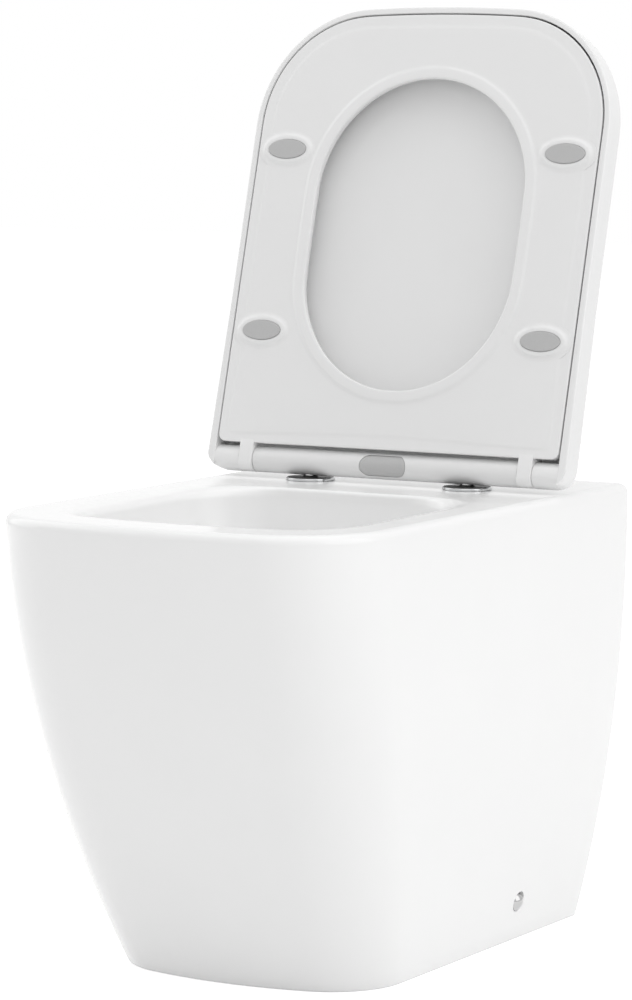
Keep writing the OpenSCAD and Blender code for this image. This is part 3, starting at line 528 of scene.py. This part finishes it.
def bowl_ring(t, grow=0.0, lift=0.0):
    """One ring of the bowl: t is 0 under the lip and 1 on the sump's floor; grow makes the outside."""
    half_w = between(MOUTH_W - LIP_R, SUMP_W, t ** BOWL_SIDE_POWER)
    front = between(MOUTH_FRONT + LIP_R, SUMP_FRONT, t ** BOWL_FRONT_POWER)
    back = between(MOUTH_BACK - LIP_R, SUMP_BACK, t)
    r_front = between(MOUTH_R_FRONT - LIP_R, SUMP_R_FRONT, t)
    r_back = between(MOUTH_R_BACK - LIP_R, SUMP_R_BACK, t)
    z = between(PAN_H - LIP_R, SUMP_Z, t) - grow * t + lift
    bow = max(FRONT_BOW * (1 - t), 0.2)
    return at(z, plan(half_w + grow, back + grow, front - grow, r_front + grow, r_back + grow, bow))


def eased(depth, height, reach):
    """How far a rounded edge of this height and reach stands outside its wall, depth below its top."""
    left = 1 - min(depth / height, 1)
    return reach * (1 - math.sqrt(1 - left * left))


def mouth_ring(depth, out=0.0):
    """The mouth's edge: broad and soft at the sides, tight at the back."""
    side = eased(depth, LIP_R, LIP_SIDE) - LIP_R + out
    front = eased(depth, LIP_R, LIP_R) - LIP_R + out
    back = eased(depth, LIP_BACK, LIP_BACK) - LIP_R + out
    return at(PAN_H - depth, plan(MOUTH_W + side, MOUTH_BACK + back, MOUTH_FRONT - front,
                                  MOUTH_R_FRONT + front, MOUTH_R_BACK + back, FRONT_BOW))


def pan_outside():
    """The glazed skin, from the foot up over the rim and down the bowl."""
    shoulder = PAN_H - EDGE_R
    skin = Skin(skin_ring(0, FOOT_EDGE, -FOOT_EDGE))
    for c, s in turns(0, QUARTER, 3, 1):
        inset = FOOT_EDGE * (1 - s)
        skin.grow(skin_ring(FOOT_EDGE * (1 - c), inset, -inset))
    for share in shares(30):
        skin.grow(skin_ring(between(FOOT_EDGE, shoulder, share), 0, 0))
    for c, s in turns(0, QUARTER, 8, 1):
        inset = EDGE_R * (1 - c)
        skin.grow(skin_ring(shoulder + EDGE_R * s, inset, -inset / 2, shoulder))
    skin.grow(skin_ring(PAN_H, EDGE_R + 1.0, -EDGE_R / 2 - 1.0, shoulder))
    skin.grow(mouth_ring(0, 1.0))
    for _, s in turns(QUARTER, 0, 10):
        skin.grow(mouth_ring(LIP_R * (1 - s)))
    for share in shares(34):
        skin.grow(bowl_ring(BOWL_END * share))
    for grow, lift in ((0, -2.0), (-3, -2.9), (-7, -3.0)):
        skin.grow(bowl_ring(FLOOR_SHARE, grow, lift))
    return skin.cap().mesh


def pan_inside():
    """The unglazed inside of the skirt, the deck's underside and the bowl's outside."""
    skin = Skin(skin_ring(0, FOOT_EDGE, -FOOT_EDGE))
    for share in shares(14, 0):
        skin.grow(skin_ring((PAN_H - DECK_T) * share, WALL, -WALL))
    for share in shares(12, 0):
        skin.grow(bowl_ring(between(UNDER_DECK, 1, share), WALL))
    return skin.cap().mesh


def trap_path():
    """Centre line of the trapway in the plane X = 0, as (y, z)."""
    climb, drop = math.radians(TRAP_CLIMB), math.radians(TRAP_DROP)
    dip = Vector((DIP_Y, DIP_Z))
    weir = dip + Vector((math.cos(climb), math.sin(climb))) * TRAP_RISE
    weir += Vector((math.sin(climb), -math.cos(climb))) * 2 * TRAP_BEND
    way = Vector((math.sin(drop), -math.cos(drop)))
    points = [dip + Vector((-TRAP_BEND - 3, 16))]
    entry = math.radians(DIP_ENTRY)
    points += [dip + TRAP_BEND * Vector(turn) for turn in turns(entry, 3 * QUARTER + climb, 16)]
    points += [weir + TRAP_BEND * Vector(turn) for turn in turns(QUARTER + climb, drop, 14)]
    return points + [points[-1] + way * 4, points[-1] + way * DROP_LEN]


def trap_tube(radius):
    path = trap_path()
    rings = []
    for k, middle in enumerate(path):
        way = (path[min(k + 1, len(path) - 1)] - path[max(k - 1, 0)]).normalized()
        ring = []
        for c, s in turns(0, -4 * QUARTER, 48)[:-1]:
            ring.append((radius * c, middle.x - radius * s * way.y, middle.y + radius * s * way.x))
        rings.append(ring)
    return lofted(rings)


def back_opening():
    half = FOOT_W / 2 - 2 * WALL
    mesh = block((-half, -WALL - 2, -20), (half, 4, BACK_OPEN_H))
    long = [e for e in mesh.edges if abs(span(e).y) > 1]
    return bevelled(mesh, [e for e in long if e.verts[0].co.z > 0], BACK_OPEN_R, 12)


def inlet_bore():
    return rod(INLET_R, (0, -INLET_LEN, INLET_Z), (0, 3, INLET_Z))


def flush_duct():
    low = (-FLUSH_W / 2, DUCT_FRONT, INLET_Z - FLUSH_H)
    return block(low, (FLUSH_W / 2, DUCT_BACK, INLET_Z))


def rounded_duct():
    duct = flush_duct()
    return bevelled(duct, [e for e in duct.edges if abs(span(e).y) > 1], 5, 5)


def side_rod(radius, start, end, steps):
    """A rod on each side, about the line of the side screws."""
    return both_sides(lambda: rod(radius, (start, FIX_Y, FIX_Z), (end, FIX_Y, FIX_Z), steps))


def screw_holes():
    return side_rod(SCREW_HOLE_R, 105, 175, 32)


def post_holes():
    low, high = PAN_H - DECK_T - 5, PAN_H + 5
    return both_sides(lambda: rod(POST_HOLE_R, (POST_X, AXIS_Y, low), (POST_X, AXIS_Y, high), 32))


def make_glazed_shell():
    """The casting, with its rear opening, inlet, duct, trapway, post and screw holes and spot faces."""
    holes = merged(back_opening(), inlet_bore(), rounded_duct(), *post_holes(), *screw_holes())
    spot_faces = merged(*side_rod(CAP_R + 1, SIDE_FACE, 175, 48))
    shell = carved(
        closed(merged(pan_outside(), pan_inside())),
        ("DIFFERENCE", holes),
        ("DIFFERENCE", spot_faces),
        ("DIFFERENCE", trap_tube(TRAP_BORE)),
    )
    piece("pan_glazed_shell", shell, "pan", "ceramic", "pan")


def make_trapway():
    """The trapway outside the bowl, and the spigot and collar that it ends in."""
    inside_bowl = lofted([bowl_ring(1 - i / 14, WALL * 0.5) for i in range(15)])
    spigot = rod(OUTLET_R, (0, COLLAR_BACK - 5, OUTLET_Z), (0, OUTLET_BACK, OUTLET_Z))
    collar = rod(OUTLET_R + 3, (0, COLLAR_BACK - 28, OUTLET_Z), (0, COLLAR_BACK, OUTLET_Z))
    bore = rod(OUTLET_R - OUTLET_WALL, (0, COLLAR_BACK - 20, OUTLET_Z), (0, OUTLET_BACK + 4, OUTLET_Z))
    beyond = block((-80, COLLAR_BACK - 2, 60), (80, 20, 320))
    trap = carved(
        trap_tube(TRAP_BORE + TRAP_WALL),
        ("DIFFERENCE", inside_bowl),
        ("DIFFERENCE", beyond),
        ("UNION", collar),
        ("UNION", spigot),
        ("DIFFERENCE", trap_tube(TRAP_BORE)),
        ("DIFFERENCE", bore),
    )
    piece("pan_trapway", trap, "pan", "ceramic", "pan")


def make_flush_boss():
    """The boss round the flush inlet and its duct, under the deck."""
    low = (-FLUSH_W / 2 - WALL, BOSS_FRONT, INLET_Z - FLUSH_H - WALL)
    chest = block(low, (FLUSH_W / 2 + WALL, BOSS_BACK, PAN_H - DECK_T / 2), 4.0)
    neck_low = (-INLET_R + 7, DUCT_BACK - 1, INLET_Z - FLUSH_H)
    neck = block(neck_low, (INLET_R - 7, -INLET_LEN + 5, INLET_Z))
    boss = carved(
        rod(INLET_R + 9, (0, BOSS_FRONT, INLET_Z), (0, -WALL / 2, INLET_Z)),
        ("UNION", chest),
        ("DIFFERENCE", inlet_bore()),
        ("DIFFERENCE", flush_duct()),
        ("DIFFERENCE", neck),
    )
    piece("pan_flush_boss", boss, "pan", "ceramic", "pan")


def make_side_pads():
    """Thicker places inside the skirt for the side screws."""
    solid_pads = side_rod(PAD_R, PAD_IN, PAD_OUT, 48)
    pads = [carved(pad, ("DIFFERENCE", hole)) for pad, hole in zip(solid_pads, screw_holes())]
    piece("pan_side_pads", merged(*pads), "pan", "ceramic", "pan")


# ---- the seat ----


def hole_point(angle, grow):
    """The opening's outline, grown by grow: two half ellipses with straight sides between them."""
    if math.sin(angle) < 0:
        reach, middle = HOLE_R + grow, HOLE_R - HOLE_FRONT
    else:
        reach, middle = HOLE_REAR_REACH + grow, -HOLE_BACK - HOLE_REAR_REACH
    return Vector(((HOLE_R + grow) * math.cos(angle), middle + reach * math.sin(angle)))


def seat_stations():
    """Points round the seat's outer edge, each with the angle of the opening's point that faces it."""
    outline = plan(SEAT_W, -SEAT_REAR, -SEAT_LEN, SEAT_CORNER, SEAT_BACK_CORNER, SEAT_BOW, SEAT_STEPS)
    middle = -(HOLE_BACK + HOLE_REAR_REACH + HOLE_FRONT - HOLE_R) / 2
    stations = []
    for x, y in outline:
        angle = math.atan2((y - middle) / (SEAT_LEN - SEAT_REAR) * 2, x / SEAT_W)
        stations.append((Vector((x, y)), angle))
    return stations


def seat_ring(origin, distance, z):
    """One ring of the seat, measured in from its edge or out from its hole."""
    ring = []
    for outer, angle in seat_stations():
        if origin == "hole":
            p = hole_point(angle, distance)
        else:
            p = outer + (hole_point(angle, 0) - outer).normalized() * distance
        ring.append((p.x, p.y, z))
    return ring


SEAT_OUTER_WALL = [
    (0, SEAT_LOW + 2.0), (2.0, SEAT_TOP - 5.0), (2.6, SEAT_TOP - 2.6), (3.8, SEAT_TOP - 1.0),
    (5.6, SEAT_TOP - 0.1), (8.4, SEAT_TOP),
]
SEAT_OPENING = [
    (30, SEAT_TOP - 0.1), (22, SEAT_TOP - 0.4), (15, SEAT_TOP - 1.6), (8.5, SEAT_TOP - 4.6),
    (4.0, SEAT_TOP - 9.0), (1.2, SEAT_TOP - 14.0), (0.2, SEAT_TOP - 18.0), (0, SEAT_LOW + 0.6),
    (0.2, SEAT_LOW - 0.7), (1.2, SEAT_LOW - 1.3), (3.0, SEAT_LOW - 1.3), (8.0, SEAT_LOW - 1.3),
    (9.8, SEAT_LOW - 1.1), (11.4, SEAT_LOW - 0.2), (13.5, SEAT_LOW), (17.0, SEAT_LOW),
]
SEAT_UNDERSIDE = [
    (15.0, SEAT_LOW), (12.4, SEAT_LOW + 0.05), (10.6, SEAT_LOW + 0.55), (9.0, SEAT_LOW + 0.62),
    (5.0, SEAT_LOW + 0.62), (2.2, SEAT_LOW + 0.62), (1.2, SEAT_LOW + 0.64), (0.45, SEAT_LOW + 0.85),
    (0.08, SEAT_LOW + 1.3),
]


def make_seat_ring():
    rings = [seat_ring("edge", *place) for place in SEAT_OUTER_WALL]
    rings += [seat_ring("hole", *place) for place in SEAT_OPENING]
    rings += [seat_ring("edge", *place) for place in SEAT_UNDERSIDE]
    skin = Skin(rings[0])
    for ring in rings[1:]:
        skin.grow(ring)
    seat = raised(closed(skin.meet().mesh))
    piece("seat_ring", seat, "seat", "seat_plastic", "seat", levels=1, sharp=180.0)


def seat_lug():
    """A lug on the right, flush with the seat's underside and round behind, drawn closed."""
    low, heel = SEAT_LOW + 0.6, BAR_R - LUG_HEEL
    outline = [(-SEAT_REAR - 6, low + 1.5), (-SEAT_REAR - 3, low), (heel, low)]
    outline += [(heel + LUG_HEEL * c, low + LUG_HEEL + LUG_HEEL * s) for c, s in turns(-QUARTER, 0, 6, 1)]
    outline += [(BAR_R * c, BAR_R * s) for c, s in turns(0, math.radians(141.7), 16)]
    outline += [(-SEAT_REAR - 4, SEAT_TOP - 1), (-SEAT_REAR - 6, SEAT_TOP - 3)]
    return pushed([(LUG_IN, y, z) for y, z in outline], (LUG_OUT - LUG_IN, 0, 0), 0.3)


def make_seat_lugs():
    piece("seat_lugs", raised(merged(*both_sides(seat_lug))), "seat", "seat_plastic", "seat")


def buffer_rise():
    """The soft rise that carries a buffer, drawn with its top at 0 and its foot in the seat."""
    rings = [oval(BUFFER_L - 1.2, BUFFER_W - 0.4, z) for z in (0.2, -1.6)]
    rings.append(oval(BUFFER_L + 0.6, BUFFER_W + 1.4, -1.8))
    flank = [(5.6, -1.75), (7, -1.45), (9, -0.9), (11, -0.4), (14, -0.05), (18, 0.05), (18, 2)]
    rings += [oval(BUFFER_L + grow, BUFFER_W + grow, z) for grow, z in flank]
    return lofted(rings)


def buffer_pad():
    """The grey pad itself, with a softly rounded rim."""
    length, width = BUFFER_L - 1.8, BUFFER_W - 1.0
    rings = [oval(length, width, -0.8), oval(length, width, -2.0)]
    for c, s in turns(0, QUARTER, 4, 1):
        draw = 1.6 * (1 - c)
        rings.append(oval(length - draw, width - draw, -2.0 - 0.6 * s))
    rings.append(oval(length - 4, width - 4, -2.6))
    return lofted(rings)


def under_seat(mesh, side, row):
    return moved(mesh, (side * BUFFER_X, -BUFFER_ROWS[row], SEAT_LOW))


def make_buffers():
    """Four oval pads on soft rises under the seat."""
    rises = merged(*[under_seat(buffer_rise(), side, row) for side in (-1, 1) for row in (0, 1)])
    piece("seat_buffer_rises", raised(rises), "seat", "seat_plastic", "seat")
    for side, side_name in ((-1, "left"), (1, "right")):
        for row, row_name in ((0, "rear"), (1, "front")):
            name = f"seat_buffer_{row_name}_{side_name}"
            pad = raised(under_seat(buffer_pad(), side, row))
            piece(name + "_pad", pad, "seat", "soft_grey", name)


# ---- the lid ----


def back_round(z):
    """How far the lid's rear edge is drawn in at a level, so that it rolls over like the bar."""
    return BAR_R * max(z / LID_TOP, 0.0) ** 2.5


def lid_ring(side, front, back, z):
    """One level of the lid's outside, whose walls thin a little from the blocks forwards."""
    far = BAR_R - back - back_round(z)
    near = front - SEAT_LEN - LID_GAP - LID_FRONT_WALL
    corner = SEAT_CORNER + BLOCK_OUT - SEAT_W - side
    outline = plan(BLOCK_OUT - side, far, near, corner, LID_BACK_CORNER - side, SEAT_BOW, LID_STEPS)
    return at(z, [(x * (1 - LID_TAPER * min(max(-y / LID_TAPER_END, 0), 1)), y) for x, y in outline])


def lid_outside():
    rings = [lid_ring(3.0, 3.0, 3.0, LID_LOW)]
    for c, s in turns(0, QUARTER, 5, 1):
        draw = LID_LIP * (1 - s)
        rings.append(lid_ring(draw, draw, draw, LID_LOW + LID_LIP * (1 - c)))
    for share in shares(8):
        rings.append(lid_ring(0, 0, 0, between(LID_LOW + LID_LIP, LID_TOP - LID_EDGE, share)))
    for c, s in turns(0, QUARTER, 9, 1):
        rings.append(lid_ring(LID_EDGE * (1 - c), LID_FRONT_EDGE * (1 - c), 0, LID_TOP - LID_EDGE * (1 - s)))
    rings.append(lid_ring(LID_EDGE + 1.5, LID_FRONT_EDGE + 1.5, 1.5, LID_TOP))
    return lofted(rings)


def inner_ring(inset, z):
    """One level of the lid's inside, which runs on behind the hinge line."""
    half, front, corner = SEAT_W + LID_GAP, -SEAT_LEN - LID_GAP, SEAT_CORNER + LID_GAP
    return at(z, plan(half - inset, 90, front + inset, corner - inset, 5, SEAT_BOW, LID_STEPS))


def lid_inside():
    lip = [(-2, -2), (-0.5, -0.1), (-0.15, 0.3), (0, 0.9)]
    rings = [inner_ring(inset, LID_LOW + rise) for inset, rise in lip]
    turn = LID_ROOF - LID_INNER_EDGE
    rings.append(inner_ring(0, turn))
    for c, s in turns(0, QUARTER, 6, 1):
        rings.append(inner_ring(LID_INNER_EDGE * (1 - c), turn + LID_INNER_EDGE * s))
    rings.append(inner_ring(LID_INNER_EDGE + 1.5, LID_ROOF))
    return lofted(rings)


def make_lid_shell():
    between_blocks = block((-BLOCK_IN, -BAR_R - 1.5, LID_LOW - 5), (BLOCK_IN, 60, LID_TOP + 5))
    shell = carved(lid_outside(), ("DIFFERENCE", lid_inside()), ("DIFFERENCE", between_blocks))
    piece("lid_shell", raised(shell), "lid", "seat_plastic", "lid", sharp=32.0)


def lid_block():
    """The right corner block: round below and behind, flat where it meets the plate."""
    roof = LID_ROOF + 0.3
    profile = [(BAR_R - back_round(roof * share), roof * share) for share in shares(8, 0)]
    profile.append((-BAR_R, roof))
    profile += [(BAR_R * c, BAR_R * s) for c, s in turns(2 * QUARTER, 4 * QUARTER, 32)[:-1]]
    middle_x, middle_y, radius = BLOCK_OUT - LID_BACK_CORNER, BAR_R - LID_BACK_CORNER, LID_BACK_CORNER - 0.1
    corner = [(BLOCK_IN, -BAR_R - 1), (BLOCK_OUT - 0.1, -BAR_R - 1)]
    corner += [(middle_x + radius * c, middle_y + radius * s) for c, s in turns(0, QUARTER, 12)]
    corner.append((BLOCK_IN, BAR_R - 0.1))
    return carved(
        pushed([(BLOCK_IN, y, z) for y, z in profile], (BLOCK_OUT - BLOCK_IN, 0, 0)),
        ("INTERSECT", pushed(at(-30, corner), (0, 0, 60))),
    )


def make_lid_blocks():
    blocks = raised(merged(*both_sides(lid_block)))
    piece("lid_blocks", blocks, "lid", "seat_plastic", "lid", sharp=32.0)


# ---- the hinge bar, its button and its base discs, and the cover caps ----


def stadium(width, height, back):
    """A slot shape along X, from in front of the bar back to a depth."""
    r, front = height / 2, -BAR_R - 1
    points = []
    for middle, start in ((width / 2 - r, -QUARTER), (-width / 2 + r, QUARTER)):
        for c, s in turns(start, start + 2 * QUARTER, 24):
            points.append((middle + r * c, front, r * s + BUTTON_RISE))
    return pushed(points, (0, back - front, 0))


def make_bar():
    """The bar's moulding, hollow for the button, the slides, the posts and the dampers."""
    bar = rod(BAR_R, (-BAR_HALF, 0, 0), (BAR_HALF, 0, 0), 160)
    bevelled(bar, [e for e in bar.edges if abs(span(e).x) < 1e-4], 0.5)
    sockets = both_sides(lambda: rod(POST_R + 0.1, (POST_X, 0, -BAR_R - 1), (POST_X, 0, SOCKET_TOP), 48))
    bores = both_sides(lambda: rod(DAMPER_R, (DAMPER_IN, 0, 0), (BAR_HALF + 2, 0, 0), 64))
    moulding = carved(
        bar,
        ("DIFFERENCE", stadium(BUTTON_W + BUTTON_GAP, BUTTON_H + BUTTON_GAP, -1.5)),
        ("DIFFERENCE", block((-62, -5, -BAR_R - 1), (62, 7, 5.8))),
        ("DIFFERENCE", merged(*sockets)),
        ("DIFFERENCE", merged(*bores)),
    )
    piece("hinge_bar_moulding", at_hinge(moulding), "hinge", "bar_plastic", "hinge_bar", sharp=30.0)


def make_button():
    """The button's face, the flange behind it and the wedge that spreads the slides."""
    round_face = rod(BAR_R - 0.1, (-45, 0, 0), (45, 0, 0), 160)
    face = carved(round_face, ("INTERSECT", stadium(BUTTON_W, BUTTON_H, -4.7)))
    flange = block((-25, -4.7, -5.5), (25, -3.5, 5.5), 0.3)
    wedge = pushed([(-12, -3.6, -1.5), (12, -3.6, -1.5), (5, 3.5, -1.5), (-5, 3.5, -1.5)], (0, 0, 3))
    button = at_hinge(merged(face, flange, wedge))
    piece("button_face", button, "button", "button_grey", "release_button", sharp=30.0)


CHROME_SECTION = [
    (DISC_BORE, 0.0), (19.8, 0.0), (19.9, -0.45), (21.3, -0.45), (DISC_R, -0.2), (DISC_R, 1.2), (21.4, 1.6),
    (21.1, 1.86), (20.8, 1.96), (20.55, 1.96), (20.4, 1.86), (20.3, 1.2), (DISC_BORE, 1.2), (DISC_BORE, 0.0),
]
# painted reflection: this black ring and its hump stand in for the bar's shaded underside mirrored in the
# disc's top
PAINTED_REFLECTION_SECTION = [
    (DISC_BORE, 1.2), (20.2, 1.2), (20.2, 1.7), (20.0, 1.86), (14.0, 1.98), (8.6, 2.0), (7.4, 2.2),
    (6.6, 2.7), (6.1, 3.4), (DISC_BORE, 3.4), (DISC_BORE, 1.2),
]


def make_disc(side, name):
    """A chrome base disc round a post, and a black ring with a hump in its dished top: painted reflection,
    standing in for the bar's shaded underside mirrored in the disc.
    """
    place = (side * POST_X, AXIS_Y, DISC_Z)
    disc = moved(turned(CHROME_SECTION), place)
    piece(f"chrome_disc_{name}", disc, "pan", "chrome", f"hinge_base_{name}")
    # painted reflection: a black ring where the disc's top only mirrors the bar's shaded underside
    painted_reflection = moved(turned(PAINTED_REFLECTION_SECTION), place)
    piece(f"post_painted_reflection_{name}", painted_reflection, "pan", "black_rubber", f"hinge_base_{name}")


def dome_arc(reach, rise):
    """Half a dome's section, from its top out to its rim."""
    big = (reach * reach + rise * rise) / (2 * rise)
    return [(big * s, rise - big + big * c) for c, s in turns(0, math.asin(reach / big), 14)]


def make_cap(side, name):
    """The chrome dome over a side screw."""
    inner = dome_arc(CAP_R - CAP_WALL, CAP_RISE - CAP_WALL)
    cap = turned(dome_arc(CAP_R, CAP_RISE) + inner[::-1], 64)
    outwards = Matrix.Rotation(side * QUARTER, 4, "Y")
    cap.transform(Matrix.Translation((side * CAP_X, FIX_Y, FIX_Z)) @ outwards)
    piece(f"cover_cap_{name}_dome", cap, f"cap_{name}", "chrome", f"cover_cap_{name}", finish=satin_chrome)


make_glazed_shell()
make_trapway()
make_flush_boss()
make_side_pads()
make_seat_ring()
make_seat_lugs()
make_buffers()
make_lid_shell()
make_lid_blocks()
make_bar()
make_button()
make_disc(-1, "left")
make_disc(1, "right")
make_cap(-1, "left")
make_cap(1, "right")


# ---- studio, in metres and radians ----

WHITE = (1.0, 1.0, 1.0, 1.0)
SKY_LIGHT, FLOOR_LIFT, FLOOR_HALF = 0.59, 0.5, 12.0
CAMERA_PLACE = (1.74584, -3.29463, 0.75821)
YAW, PITCH, ROLL = 0.520489, 0.105724, 0.0045477
SENSOR, FOCAL_PX, IMAGE_HEIGHT = 36.0, 4191.70, 1000.0


def make_floor():
    """Pale floor: white to the eye, and it keeps the object's soft shadow."""
    f = Finish("studio_floor")
    seen = f.ray("Camera").either(f.ray("Glossy"))
    paint = f.node("ShaderNodeBsdfDiffuse", None, {"Color": f.blend(f.cloud(3.0), grey(0.92), grey(0.93))})
    lift = f.node("ShaderNodeEmission", None, {"Color": WHITE, "Strength": seen * FLOOR_LIFT})
    f.end("ShaderNodeOutputMaterial", f.node("ShaderNodeAddShader", None, {0: paint, 1: lift}))
    mesh = bmesh.new()
    bmesh.ops.create_grid(mesh, x_segments=2, y_segments=2, size=FLOOR_HALF)
    floor = as_object("floor", mesh)
    floor.data.materials.append(f.material)


def make_world():
    """White where it is seen, mirrored or seen through, and softer where it lights the object."""
    world = bpy.data.worlds.new("studio")
    bpy.context.scene.world = world
    world.use_nodes = True
    w = Nodes(world.node_tree)
    seen = w.ray("Camera").either(w.ray("Glossy")).either(w.ray("Transmission"))
    soft = w.node("ShaderNodeBackground", None, {"Color": WHITE, "Strength": SKY_LIGHT})
    white = w.node("ShaderNodeBackground", None, {"Color": WHITE, "Strength": 1.0})
    w.end("ShaderNodeOutputWorld", w.node("ShaderNodeMixShader", None, {0: seen, 1: soft, 2: white}))


def softbox(name, place, target, width, height, power):
    light = bpy.data.lights.new(name, "AREA")
    light.shape = "RECTANGLE"
    light.size, light.size_y = width, height
    light.energy = power
    lamp = bpy.data.objects.new(name, light)
    lamp.location = place
    lamp.rotation_euler = (Vector(target) - Vector(place)).to_track_quat("-Z", "Y").to_euler()
    bpy.context.scene.collection.objects.link(lamp)


def make_camera():
    """The photograph's view, found by fitting the part's corners to it."""
    level = math.cos(PITCH)
    ahead = Vector((-math.sin(YAW) * level, math.cos(YAW) * level, -math.sin(PITCH)))
    right = ahead.cross(Vector((0, 0, 1))).normalized()
    up = right.cross(ahead)
    c, s = math.cos(ROLL), math.sin(ROLL)
    right, up = right * c + up * s, up * c - right * s
    data = bpy.data.cameras.new("camera")
    data.sensor_width = SENSOR
    data.lens = SENSOR * FOCAL_PX / IMAGE_HEIGHT
    data.clip_end = 60.0
    camera = bpy.data.objects.new("camera", data)
    turn = Matrix((right, up, -ahead)).transposed().to_4x4()
    camera.matrix_world = Matrix.Translation(CAMERA_PLACE) @ turn
    bpy.context.scene.collection.objects.link(camera)
    bpy.context.scene.camera = camera


make_floor()
make_world()
softbox("right_light", (3.2, -0.2, 2.1), (0, -0.25, 0.4), 3.4, 3.2, 37.5)
softbox("left_light", (-3.2, -0.4, 2.0), (0, -0.25, 0.4), 3.4, 3.2, 28.0)
softbox("top_light", (0.3, -0.6, 3.4), (0, -0.25, 0.3), 3.4, 3.4, 31.0)
softbox("front_light", (1.6, -3.6, 2.2), (0, -0.25, 0.4), 3.0, 3.0, 8.5)
make_camera()
bpy.context.scene.view_settings.view_transform = "Standard"
